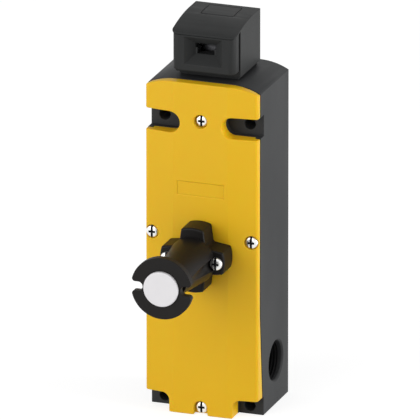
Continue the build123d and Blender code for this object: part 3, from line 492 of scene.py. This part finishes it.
def merged(node, name, finish):
    """A copy of a solid's mesh whose loose triangles are joined into whole flat faces."""
    mesh = frame["nodes"][node].data.copy()
    mesh.name = name
    form = bmesh.new()
    form.from_mesh(mesh)
    bmesh.ops.remove_doubles(form, verts=form.verts, dist=WELD)
    bmesh.ops.dissolve_limit(
        form, angle_limit=FLAT_ANGLE, verts=form.verts, edges=form.edges
    )
    form.to_mesh(mesh)
    form.free()
    return mesh_object(name, mesh, finish)


def softened(node, name, finish, width, segments=3, flat=True):
    """A merged copy of a solid with its sharp outer edges really rounded."""
    piece = merged(node, name, finish)
    form = bmesh.new()
    form.from_mesh(piece.data)
    weight = form.edges.layers.float.new("bevel_weight_edge")
    for edge in form.edges:
        if edge.is_convex and edge.calc_face_angle(0) > ROUNDED_ANGLE:
            edge[weight] = 1.0
    form.to_mesh(piece.data)
    form.free()
    bevel = piece.modifiers.new("edge", "BEVEL")
    bevel.width = width
    bevel.segments = segments
    bevel.limit_method = "WEIGHT"
    bevel.use_clamp_overlap = False
    bevel.loop_slide = False
    bevel.harden_normals = flat
    return applied(piece)


def smoothed(piece):
    """Shades a piece smooth, apart from its sharp edges."""
    piece.data.shade_smooth()
    piece.data.set_sharp_from_angle(angle=SHARP_ANGLE)
    return piece


def evened(piece):
    """Shades a piece smooth, led by its largest faces, so that slivers leave no streaks."""
    smoothed(piece)
    even = piece.modifiers.new("even", "WEIGHTED_NORMAL")
    even.keep_sharp = True
    return applied(piece)


def applied(piece):
    """Replaces a piece's mesh with what its modifiers make of it."""
    graph = bpy.context.evaluated_depsgraph_get()
    made = bpy.data.meshes.new_from_object(
        piece.evaluated_get(graph), preserve_all_data_layers=True, depsgraph=graph
    )
    piece.modifiers.clear()
    piece.data = made
    return piece


def lathed(name, finish, middle, profile):
    """Turns a profile of (radius, depth) points about an axis along Y through the given point."""
    form = bmesh.new()
    rings = []
    for radius, depth in profile:
        if radius == 0:
            rings.append([form.verts.new((middle.x, depth, middle.z))])
            continue
        angles = [math.tau * step / LATHE_STEPS for step in range(LATHE_STEPS)]
        rings.append([
            form.verts.new((
                middle.x + radius * math.cos(angle), depth, middle.z + radius * math.sin(angle)
            ))
            for angle in angles
        ])
    for inner, outer in zip(rings, rings[1:]):
        for step in range(LATHE_STEPS):
            ahead = (step + 1) % LATHE_STEPS
            corners = [inner[step % len(inner)], outer[step % len(outer)]]
            if len(outer) > 1:
                corners.append(outer[ahead])
            if len(inner) > 1:
                corners.append(inner[ahead])
            form.faces.new(corners)
    bmesh.ops.recalc_face_normals(form, faces=form.faces)
    mesh = bpy.data.meshes.new(name)
    form.to_mesh(mesh)
    form.free()
    return smoothed(mesh_object(name, mesh, finish))


def settle(piece, node):
    """The piece rides with the solid it stands for, which it hides."""
    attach(piece, frame["nodes"][node]["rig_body"])
    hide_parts(node)


def lowest(points):
    """Lowest corner of the box round some points."""
    return Vector([min(point[axis] for point in points) for axis in range(3)])


def highest(points):
    """Highest corner of the box round some points."""
    return Vector([max(point[axis] for point in points) for axis in range(3)])


def islands(node):
    """The points of each separate solid in a node, as lists."""
    form = bmesh.new()
    form.from_mesh(frame["nodes"][node].data)
    bmesh.ops.remove_doubles(form, verts=form.verts, dist=WELD)
    reached = set()
    found = []
    for start in form.verts:
        if start in reached:
            continue
        reached.add(start)
        front, island = [start], []
        while front:
            vertex = front.pop()
            island.append(vertex.co.copy())
            for edge in vertex.link_edges:
                other = edge.other_vert(vertex)
                if other not in reached:
                    reached.add(other)
                    front.append(other)
        found.append(island)
    form.free()
    return found


def dress(node, finish):
    """Gives a solid that stays in view its finish."""
    mesh = frame["nodes"][node].data
    mesh.materials.clear()
    mesh.materials.append(finish)
    for face in mesh.polygons:
        face.material_index = 0


# Geometry Nodes


def node_tree(name, sizes):
    """An empty tree with one length or count input for each named size, as (tree, inputs)."""
    tree = bpy.data.node_groups.new(name, "GeometryNodeTree")
    face = tree.interface
    face.new_socket(name="Geometry", in_out="OUTPUT", socket_type="NodeSocketGeometry")
    face.new_socket(name="Geometry", in_out="INPUT", socket_type="NodeSocketGeometry")
    for size, default in sizes.items():
        kind = "NodeSocketInt" if isinstance(default, int) else "NodeSocketFloat"
        socket = face.new_socket(name=size, in_out="INPUT", socket_type=kind)
        socket.default_value = default
    face.new_socket(name="Finish", in_out="INPUT", socket_type="NodeSocketMaterial")
    return tree, node_in(tree, "NodeGroupInput").outputs


def feed(tree, socket, value):
    """Links an output to a socket, or writes a plain value into it."""
    if isinstance(value, bpy.types.NodeSocket):
        tree.links.new(value, socket)
    else:
        socket.default_value = value


def sum_of(tree, operation, first, second=0.0):
    """One Math node's result."""
    node = node_in(tree, "ShaderNodeMath", operation=operation)
    feed(tree, node.inputs[0], first)
    feed(tree, node.inputs[1], second)
    return node.outputs[0]


def made_node(tree, kind, properties=None, **inputs):
    """Adds a node, feeds its inputs by name (underscores for spaces), gives its first output."""
    node = node_in(tree, kind, **(properties or {}))
    for name, value in inputs.items():
        feed(tree, node.inputs[name.replace("_", " ")], value)
    return node.outputs[0]


def coordinates(tree):
    """The x, y and z of the points of whatever form reads them, as three outputs."""
    place = node_in(tree, "ShaderNodeSeparateXYZ")
    tree.links.new(node_in(tree, "GeometryNodeInputPosition").outputs[0], place.inputs[0])
    return place.outputs


def skin(tree, around, along):
    """A square net to be wrapped round an axis, as (mesh, angle, share of the way along)."""
    net = made_node(
        tree, "GeometryNodeMeshGrid", Size_X=1.0, Size_Y=1.0, Vertices_X=around, Vertices_Y=along
    )
    x, y, _ = coordinates(tree)
    turn, share = [sum_of(tree, "ADD", side, 0.5) for side in (x, y)]
    return net, sum_of(tree, "MULTIPLY", turn, math.tau), share


def wrapped(tree, net, angle, radius, height):
    """Puts the points of a net at a radius, angle and height, and closes its seam and poles."""
    place = made_node(
        tree, "ShaderNodeCombineXYZ",
        X=sum_of(tree, "MULTIPLY", radius, sum_of(tree, "COSINE", angle)),
        Y=sum_of(tree, "MULTIPLY", radius, sum_of(tree, "SINE", angle)),
        Z=height,
    )
    form = made_node(tree, "GeometryNodeSetPosition", Geometry=net, Position=place)
    return made_node(tree, "GeometryNodeMergeByDistance", Geometry=form, Distance=NET_WELD)


def finish_tree(tree, inputs, form, selection=True):
    """Ends a tree: instances made real, finish set on the selected faces."""
    real = made_node(tree, "GeometryNodeRealizeInstances", Geometry=form)
    dressed = made_node(
        tree, "GeometryNodeSetMaterial", Geometry=real, Selection=selection,
        Material=inputs["Finish"],
    )
    output = node_in(tree, "NodeGroupOutput")
    tree.links.new(dressed, output.inputs["Geometry"])
    return tree


def on_places(tree, inputs, form):
    """Instances of a form that stands along Z, one on each place, turned to its facing."""
    facing = made_node(
        tree, "GeometryNodeInputNamedAttribute", properties={"data_type": "FLOAT_VECTOR"},
        Name="facing",
    )
    turn = made_node(
        tree, "FunctionNodeAlignRotationToVector", properties={"axis": "Z"}, Vector=facing
    )
    return made_node(
        tree, "GeometryNodeInstanceOnPoints", Points=inputs["Geometry"], Instance=form,
        Rotation=turn,
    )


def screw_tree():
    """Pan-head screws with a long slot and a short cross, whose slot and cross faces take a darker
    zinc as painted shade.
    """
    tree, inputs = node_tree("pan_head_screws", {
        "Head Radius": 0.0029, "Head Height": 0.0019, "Shank Radius": 0.0015,
        "Shank Length": 0.010, "Slot Width": 0.001, "Slot Depth": 0.001, "Cross Length": 0.0036,
    })
    tree.interface.new_socket(
        name="Painted Recess Shade", in_out="INPUT", socket_type="NodeSocketMaterial"
    )
    ball = made_node(tree, "GeometryNodeMeshUVSphere", Segments=48, Rings=24, Radius=1.0)
    x, y, z = coordinates(tree)
    squares = [sum_of(tree, "MULTIPLY", side, side) for side in (x, y)]
    spoke = sum_of(tree, "SQRT", sum_of(tree, "ADD", *squares))
    # A squared circle: flat on top, full at the side, flat below
    full = sum_of(tree, "POWER", spoke, SIDE_POWER)
    rise = sum_of(tree, "POWER", sum_of(tree, "MAXIMUM", z, 0.0), CROWN_POWER)
    head = wrapped(
        tree, ball, sum_of(tree, "ARCTAN2", y, x),
        sum_of(tree, "MULTIPLY", inputs["Head Radius"], full),
        sum_of(tree, "MULTIPLY", inputs["Head Height"], rise),
    )
    cut = node_in(tree, "GeometryNodeMeshBoolean", operation="DIFFERENCE", solver="EXACT")
    tree.links.new(head, cut.inputs["Mesh 1"])
    width = inputs["Slot Width"]
    across = sum_of(tree, "MULTIPLY", inputs["Head Radius"], SLOT_REACH)
    for sides in ((width, across), (inputs["Cross Length"], width)):
        block = made_node(
            tree, "ShaderNodeCombineXYZ", X=sides[0], Y=sides[1],
            Z=sum_of(tree, "MULTIPLY", inputs["Slot Depth"], 2.0),
        )
        lifted = made_node(
            tree, "GeometryNodeTransform",
            Geometry=made_node(tree, "GeometryNodeMeshCube", Size=block),
            Translation=made_node(tree, "ShaderNodeCombineXYZ", Z=inputs["Head Height"]),
        )
        # The cutters carry the painted recess shade onto the faces that they cut
        cutter = made_node(
            tree, "GeometryNodeSetMaterial", Geometry=lifted, Material=inputs["Painted Recess Shade"]
        )
        tree.links.new(cutter, cut.inputs["Mesh 2"])
    shank = made_node(
        tree, "GeometryNodeMeshCylinder", Vertices=32, Radius=inputs["Shank Radius"],
        Depth=inputs["Shank Length"],
    )
    half_length = sum_of(tree, "MULTIPLY", inputs["Shank Length"], -0.5)
    sunk = made_node(
        tree, "GeometryNodeTransform", Geometry=shank,
        Translation=made_node(tree, "ShaderNodeCombineXYZ", Z=half_length),
    )
    screw = node_in(tree, "GeometryNodeJoinGeometry")
    tree.links.new(cut.outputs["Mesh"], screw.inputs[0])
    tree.links.new(sunk, screw.inputs[0])
    recess = made_node(
        tree, "GeometryNodeMaterialSelection", Material=inputs["Painted Recess Shade"]
    )
    plated = made_node(
        tree, "FunctionNodeBooleanMath", properties={"operation": "NOT"}, Boolean=recess
    )
    return finish_tree(tree, inputs, on_places(tree, inputs, screw.outputs[0]), plated)


def thread_tree():
    """Threaded sleeves of the cable entries, whose ends flare out into the bore."""
    tree, inputs = node_tree("entry_threads", {
        "Radius": 0.00925, "Length": 0.0097, "Pitch": 0.0015, "Depth": 0.0005, "Flare": 0.0008,
    })
    net, angle, along = skin(tree, THREAD_SPOKES, THREAD_ROWS)
    # The first row lies on the last one, so that the sleeve closes behind the thread
    steps = THREAD_ROWS - 1.0
    first = sum_of(tree, "LESS_THAN", along, 0.5 / steps)
    row = sum_of(tree, "SUBTRACT", sum_of(tree, "MULTIPLY", along, steps), 1.0)
    share = sum_of(tree, "MAXIMUM", sum_of(tree, "DIVIDE", row, steps - 1.0), 0.0)
    height = sum_of(tree, "MULTIPLY", share, inputs["Length"])
    turns = sum_of(tree, "DIVIDE", height, inputs["Pitch"])
    phase = sum_of(tree, "SUBTRACT", turns, sum_of(tree, "DIVIDE", angle, math.tau))
    groove = sum_of(tree, "MULTIPLY", sum_of(tree, "PINGPONG", phase, 0.5), 2.0)
    near_end = sum_of(tree, "PINGPONG", share, 0.5)
    full = sum_of(tree, "MINIMUM", sum_of(tree, "MULTIPLY", near_end, THREAD_FADE), 1.0)
    sunk = sum_of(tree, "MULTIPLY", sum_of(tree, "MULTIPLY", groove, full), inputs["Depth"])
    flared = sum_of(tree, "MULTIPLY", sum_of(tree, "SUBTRACT", 1.0, full), inputs["Flare"])
    reach = sum_of(tree, "ADD", height, sum_of(tree, "MULTIPLY", first, inputs["Length"]))
    wall = wrapped(
        tree, net, angle,
        sum_of(tree, "ADD", inputs["Radius"], sum_of(tree, "ADD", sunk, flared)),
        sum_of(tree, "MULTIPLY", reach, -1.0),
    )
    # Wrapped downwards, so that the faces look out of the sleeve: those of the thread at the axis
    return finish_tree(tree, inputs, on_places(tree, inputs, wall))


def spring_tree():
    """A round-wire spring that stands on each place, the ends of its wire capped."""
    tree, inputs = node_tree("wire_springs", {
        "Radius": 0.0042, "Height": 0.0034, "Turns": 3.0, "Wire": 0.0008,
    })
    path = made_node(
        tree, "GeometryNodeCurveSpiral", Resolution=48, Rotations=inputs["Turns"],
        Start_Radius=inputs["Radius"], End_Radius=inputs["Radius"],
        Height=sum_of(tree, "SUBTRACT", inputs["Height"], inputs["Wire"]),
    )
    wire = made_node(
        tree, "GeometryNodeCurvePrimitiveCircle", Resolution=12,
        Radius=sum_of(tree, "MULTIPLY", inputs["Wire"], 0.5),
    )
    coil = made_node(
        tree, "GeometryNodeCurveToMesh", Curve=path, Profile_Curve=wire, Fill_Caps=True
    )
    return finish_tree(tree, inputs, on_places(tree, inputs, coil))


def winding_tree():
    """The outer layer of the coil's wire, one ring on the other."""
    tree, inputs = node_tree("coil_windings", {
        "Radius": 0.0099, "Height": 0.0275, "Layers": 34,
    })
    pitch = sum_of(tree, "DIVIDE", inputs["Height"], inputs["Layers"])
    wire_radius = sum_of(tree, "MULTIPLY", pitch, 0.5)
    ring = made_node(
        tree, "GeometryNodeCurvePrimitiveCircle", Resolution=64,
        Radius=sum_of(tree, "SUBTRACT", inputs["Radius"], wire_radius),
    )
    wire = made_node(tree, "GeometryNodeCurvePrimitiveCircle", Resolution=8, Radius=wire_radius)
    turn = made_node(tree, "GeometryNodeCurveToMesh", Curve=ring, Profile_Curve=wire)
    places = made_node(
        tree, "GeometryNodeMeshLine", Count=inputs["Layers"],
        Start_Location=made_node(tree, "ShaderNodeCombineXYZ", Z=wire_radius),
        Offset=made_node(tree, "ShaderNodeCombineXYZ", Z=pitch),
    )
    stack = made_node(tree, "GeometryNodeInstanceOnPoints", Points=places, Instance=turn)
    real = made_node(tree, "GeometryNodeRealizeInstances", Geometry=stack)
    return finish_tree(tree, inputs, on_places(tree, inputs, real))


def generated(name, make_tree, places, sizes, finish):
    """Runs a tree on (point, facing) places and keeps the plain mesh that it makes."""
    mesh = bpy.data.meshes.new(name)
    mesh.from_pydata([tuple(point) for point, facing in places], [], [])
    facings = mesh.attributes.new("facing", "FLOAT_VECTOR", "POINT")
    for entry, (point, facing) in zip(facings.data, places):
        entry.vector = facing
    piece = bpy.data.objects.new(name, mesh)
    bpy.context.scene.collection.objects.link(piece)
    tree = make_tree()
    maker = piece.modifiers.new("maker", "NODES")
    maker.node_group = tree
    for item in tree.interface.items_tree:
        if item.in_out == "INPUT" and item.name in sizes:
            maker[item.identifier] = sizes[item.name]
        if item.in_out == "INPUT" and item.name == "Finish":
            maker[item.identifier] = finish
    return smoothed(applied(piece))


# Operators


class SWITCH_OT_case(bpy.types.Operator):
    """Makes the grey case with its rounded edges"""

    bl_idname = "switch.case"
    bl_label = "Case"

    def execute(self, context):
        sizes = context.scene.switch_sizes
        case = softened("housing", "case", finishes()["case"], sizes.case_round)
        settle(case, "housing")
        dress("cover_gasket", finishes()["rubber"])
        self.threads(sizes)
        return {"FINISHED"}

    def threads(self, sizes):
        """Threaded sleeves on the record's threaded holes."""
        entries = []
        reach = 0.0
        for mount in frame["record"]["mounts"]:
            if mount["kind"] != "threaded_hole":
                continue
            reach = mount["dims"]["length_mm"] * MILLIMETRE - ENTRY_MOUTH
            axis = Vector(mount["axis"])
            entries.append((Vector(mount["pos_m"]) + axis * (reach - ENTRY_MOUTH) / 2, axis))
        values = {
            "Radius": ENTRY_RADIUS - sizes.thread_depth - THREAD_GAP, "Length": reach,
            "Pitch": sizes.thread_pitch, "Depth": sizes.thread_depth, "Flare": THREAD_FLARE,
        }
        threads = generated("entry_threads", thread_tree, entries, values, finishes()["thread"])
        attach(threads, "case")


class SWITCH_OT_lid(bpy.types.Operator):
    """Makes the yellow lid"""

    bl_idname = "switch.lid"
    bl_label = "Lid"

    def execute(self, context):
        sizes = context.scene.switch_sizes
        lid = softened("cover", "lid", finishes()["lid"], sizes.lid_round)
        settle(lid, "cover")
        return {"FINISHED"}


class SWITCH_OT_head(bpy.types.Operator):
    """Makes the actuating head with its funnel insert, plate and plug"""

    bl_idname = "switch.head"
    bl_label = "Actuating head"

    def execute(self, context):
        width = context.scene.switch_sizes.head_round
        for node, name in (
            ("head_housing", "head_shell"),
            ("head_front", "funnel_insert"),
            ("head_plate", "head_base"),
            ("top_slot_plug", "top_plug"),
        ):
            piece = softened(node, name, finishes()["head"], width)
            settle(piece, node)
        return {"FINISHED"}


class SWITCH_OT_release(bpy.types.Operator):
    """Makes the flange, neck, knob and cap of the escape release"""

    bl_idname = "switch.release"
    bl_label = "Escape release"

    def execute(self, context):
        width = context.scene.switch_sizes.release_round
        guide = softened(
            "release_guide", "release_flange", finishes()["release"], width, flat=False
        )
        settle(evened(guide), "release_guide")
        knob = evened(merged("release_knob", "release_disc", finishes()["knob"]))
        settle(knob, "release_knob")
        settle(self.cap(), "knob_cap")
        dress("release_seal", finishes()["rubber"])
        dress("release_stop", finishes()["spring"])
        return {"FINISHED"}

    def cap(self):
        """The pale cap: a flat face with a full rounded rim."""
        low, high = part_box("knob_cap")
        radius = (high.x - low.x) / 2
        turns = [math.pi / 2 * step / CAP_RIM_STEPS for step in range(CAP_RIM_STEPS + 1)]
        rounded = [
            (
                radius - CAP_RIM + CAP_RIM * math.sin(turn),
                low.y + CAP_RIM - CAP_RIM * math.cos(turn),
            )
            for turn in turns
        ]
        profile = [
            (0, low.y), (radius - 2 * CAP_RIM, low.y), *rounded, (radius, high.y), (0, high.y),
        ]
        return lathed("release_cap", finishes()["cap"], (low + high) / 2, profile)


class SWITCH_OT_screws(bpy.types.Operator):
    """Makes the plated screws, the outer and the inner ones"""

    bl_idname = "switch.screws"
    bl_label = "Screws"

    def execute(self, context):
        for node, facing in SCREWS.items():
            self.screws(node, facing)
        return {"FINISHED"}

    def screws(self, node, facing):
        """Screws on the places of a node's solids, seen from their facing."""
        heads, shapes = [], []
        for island in islands(node):
            out = [point.dot(facing) for point in island]
            top, tip = max(out), min(out)
            middle = (lowest(island) + highest(island)) / 2
            around = [(point - middle) - facing * (point - middle).dot(facing) for point in island]
            wide = max(spoke.length for spoke in around)
            seat = min(
                height for height, spoke in zip(out, around) if spoke.length > SEAT_SHARE * wide
            )
            thin = max(
                spoke.length for height, spoke in zip(out, around) if height < (seat + tip) / 2
            )
            heads.append((middle + facing * (seat - middle.dot(facing)), facing))
            shapes.append((wide, top - seat, thin, seat - tip))
        # The screws of a set are alike, so the first one gives the sizes
        wide, tall, thin, length = shapes[0]
        values = {
            "Head Radius": wide, "Head Height": tall, "Shank Radius": thin, "Shank Length": length,
            "Slot Width": wide * SLOT_SHARE, "Slot Depth": tall * SLOT_DEPTH_SHARE,
            "Cross Length": 2 * wide * CROSS_SHARE, "Painted Recess Shade": finishes()["recess"],
        }
        made = generated(node + "_made", screw_tree, heads, values, finishes()["screw"])
        settle(made, node)


class SWITCH_OT_inner_parts(bpy.types.Operator):
    """Finishes the wheel, tappet, contacts, lock and solenoid inside"""

    bl_idname = "switch.inner_parts"
    bl_label = "Inner parts"

    def execute(self, context):
        width = context.scene.switch_sizes.metal_round
        for node, (finish, slot) in SOFTENED_INSIDE.items():
            piece = softened(node, node + "_made", finishes()[finish], width, segments=2)
            settle(piece, node)
        for finish, nodes in PLAIN_INSIDE.items():
            for node in nodes:
                dress(node, finishes()[finish])
        self.springs()
        self.winding()
        return {"FINISHED"}

    def springs(self):
        """The two springs in round wire."""
        for node in ("tappet_spring", "armature_spring"):
            low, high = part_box(node)
            middle = (low + high) / 2
            values = {
                "Radius": (high.y - low.y - SPRING_WIRE) / 2, "Height": high.z - low.z,
                "Turns": SPRING_TURNS, "Wire": SPRING_WIRE,
            }
            foot = Vector((middle.x, middle.y, low.z + SPRING_WIRE / 2))
            spring = generated(
                node + "_made", spring_tree, [(foot, UP)], values, finishes()["spring"]
            )
            settle(spring, node)

    def winding(self):
        """The coil's winding."""
        low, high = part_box("solenoid_coil")
        middle = (low + high) / 2
        values = {
            "Radius": (high.x - low.x) / 2, "Height": high.z - low.z, "Layers": COIL_LAYERS,
        }
        foot = Vector((middle.x, middle.y, low.z))
        coil = generated(
            "coil_winding", winding_tree, [(foot, UP)], values, finishes()["copper"]
        )
        settle(coil, "solenoid_coil")


def softbox(name, place, aim, size, power):
    """A square area light that faces a point."""
    data = bpy.data.lights.new(name, "AREA")
    data.size = size
    data.energy = power
    lamp = bpy.data.objects.new(name, data)
    lamp.location = place
    lamp.rotation_euler = (Vector(aim) - Vector(place)).to_track_quat("-Z", "Y").to_euler()
    bpy.context.scene.collection.objects.link(lamp)


def seen_white(tree, seen, real):
    """Mixes what the camera and mirrors see with what lights the object, as a shader output."""
    path = node_in(tree, "ShaderNodeLightPath")
    either = node_in(tree, "ShaderNodeMath", operation="MAXIMUM")
    both = node_in(tree, "ShaderNodeMath", operation="MAXIMUM")
    tree.links.new(path.outputs["Is Camera Ray"], either.inputs[0])
    tree.links.new(path.outputs["Is Glossy Ray"], either.inputs[1])
    tree.links.new(either.outputs["Value"], both.inputs[0])
    tree.links.new(path.outputs["Is Transmission Ray"], both.inputs[1])
    mix = node_in(tree, "ShaderNodeMixShader")
    tree.links.new(both.outputs["Value"], mix.inputs["Fac"])
    tree.links.new(real, mix.inputs[1])
    tree.links.new(seen, mix.inputs[2])
    return mix.outputs["Shader"]


class SWITCH_OT_stage(bpy.types.Operator):
    """Sets the camera, the pale floor and the soft light"""

    bl_idname = "switch.stage"
    bl_label = "Studio"

    def execute(self, context):
        studio = context.scene.switch_studio
        self.camera(studio)
        self.floor(studio)
        self.light(studio)
        context.scene.view_settings.view_transform = "Standard"
        return {"FINISHED"}

    def camera(self, studio):
        """A long lens at the photograph's angle, aimed so that the frames agree."""
        turn, rise = studio.azimuth, studio.elevation
        back = Vector((
            math.sin(turn) * math.cos(rise), -math.cos(turn) * math.cos(rise), math.sin(rise)
        ))
        right = Vector((math.cos(turn), math.sin(turn), 0))
        up = back.cross(right)
        across = (PHOTO_CENTRE_PIXEL - AIM_PIXEL[0]) / PIXELS_PER_METRE
        down = (PHOTO_CENTRE_PIXEL - AIM_PIXEL[1]) / PIXELS_PER_METRE
        target = Vector(AIM_POINT) + right * across - up * down
        data = bpy.data.cameras.new("photo_camera")
        data.sensor_width = SENSOR_MILLIMETRES
        data.lens = PIXELS_PER_METRE * studio.distance * SENSOR_MILLIMETRES / PHOTO_PIXELS
        data.clip_end = VIEW_REACH * studio.distance
        camera = bpy.data.objects.new("photo_camera", data)
        camera.location = target + back * studio.distance
        camera.rotation_mode = "QUATERNION"
        camera.rotation_quaternion = (-back).to_track_quat("-Z", "Y")
        bpy.context.scene.collection.objects.link(camera)
        bpy.context.scene.camera = camera

    def floor(self, studio):
        """A square of white paper just below the switch."""
        level = cad_box[0].z - FLOOR_GAP
        half = FLOOR_REACH * (cad_box[1] - cad_box[0]).length
        corners = [(-half, -half), (half, -half), (half, half), (-half, half)]
        mesh = bpy.data.meshes.new("floor")
        mesh.from_pydata([(x, y, level) for x, y in corners], [], [(0, 1, 2, 3)])
        floor = mesh_object("floor", mesh, self.paper(studio))

    def paper(self, studio):
        """White paper: the camera and mirrors see it glow, so that only the shadow stays grey."""
        material = bpy.data.materials.new("paper_white")
        material.use_nodes = True
        tree = material.node_tree
        tree.nodes.clear()
        real = node_in(tree, "ShaderNodeBsdfDiffuse")
        fibre = noise_at(tree, scale=30, detail=2.0)
        tree.links.new(tinted(tree, (0.8, 0.8, 0.8), fibre, change=0.01), real.inputs["Color"])
        shade = node_in(tree, "ShaderNodeBsdfDiffuse")
        shade.inputs["Color"].default_value = (*[studio.shadow] * 3, 1)
        glow = node_in(tree, "ShaderNodeEmission")
        glow.inputs["Strength"].default_value = studio.floor_white
        seen = node_in(tree, "ShaderNodeAddShader")
        tree.links.new(shade.outputs["BSDF"], seen.inputs[0])
        tree.links.new(glow.outputs["Emission"], seen.inputs[1])
        output = node_in(tree, "ShaderNodeOutputMaterial")
        mixed = seen_white(tree, seen.outputs["Shader"], real.outputs["BSDF"])
        tree.links.new(mixed, output.inputs["Surface"])
        return material

    def light(self, studio):
        """An even light all round, seen as white, and two softboxes."""
        world = bpy.data.worlds.new("studio")
        world.use_nodes = True
        tree = world.node_tree
        tree.nodes.clear()
        seen = node_in(tree, "ShaderNodeBackground")
        seen.inputs["Color"].default_value = (1, 1, 1, 1)
        real = node_in(tree, "ShaderNodeBackground")
        real.inputs["Color"].default_value = (1, 1, 1, 1)
        real.inputs["Strength"].default_value = studio.ambient
        output = node_in(tree, "ShaderNodeOutputWorld")
        mixed = seen_white(tree, seen.outputs["Background"], real.outputs["Background"])
        tree.links.new(mixed, output.inputs["Surface"])
        bpy.context.scene.world = world
        middle = (cad_box[0] + cad_box[1]) / 2
        for name, place, size, power in (
            ("side_light", SIDE_LIGHT_PLACE, SIDE_LIGHT_SIZE, studio.side_power),
            ("front_light", FRONT_LIGHT_PLACE, FRONT_LIGHT_SIZE, studio.front_power),
        ):
            softbox(name, middle + Vector(place), middle, size, power)


class SWITCH_PT_panel(bpy.types.Panel):
    """Lists the steps that dress the switch"""

    bl_idname = "SWITCH_PT_panel"
    bl_label = "Interlock switch"
    bl_space_type = "VIEW_3D"
    bl_region_type = "UI"
    bl_category = "Interlock"

    def draw(self, context):
        for operator in STEPS:
            self.layout.operator(operator.bl_idname)
        for group in (
            context.scene.switch_colours,
            context.scene.switch_sizes,
            context.scene.switch_studio,
        ):
            for name in group.__annotations__:
                self.layout.prop(group, name)


STEPS = (
    SWITCH_OT_stage,
    SWITCH_OT_case,
    SWITCH_OT_lid,
    SWITCH_OT_head,
    SWITCH_OT_release,
    SWITCH_OT_screws,
    SWITCH_OT_inner_parts,
)
CLASSES = (SwitchColours, SwitchSizes, SwitchStudio, *STEPS, SWITCH_PT_panel)


def register():
    for kind in CLASSES:
        bpy.utils.register_class(kind)
    scene = bpy.types.Scene
    scene.switch_colours = bpy.props.PointerProperty(type=SwitchColours)
    scene.switch_sizes = bpy.props.PointerProperty(type=SwitchSizes)
    scene.switch_studio = bpy.props.PointerProperty(type=SwitchStudio)


def unregister():
    scene = bpy.types.Scene
    del scene.switch_studio
    del scene.switch_sizes
    del scene.switch_colours
    for kind in reversed(CLASSES):
        bpy.utils.unregister_class(kind)


def main():
    """Dresses the switch, one operator after the other."""
    register()
    for step in STEPS:
        group, name = step.bl_idname.split(".")
        getattr(getattr(bpy.ops, group), name)()
    bpy.context.view_layer.update()


if __name__ == "__main__":
    main()
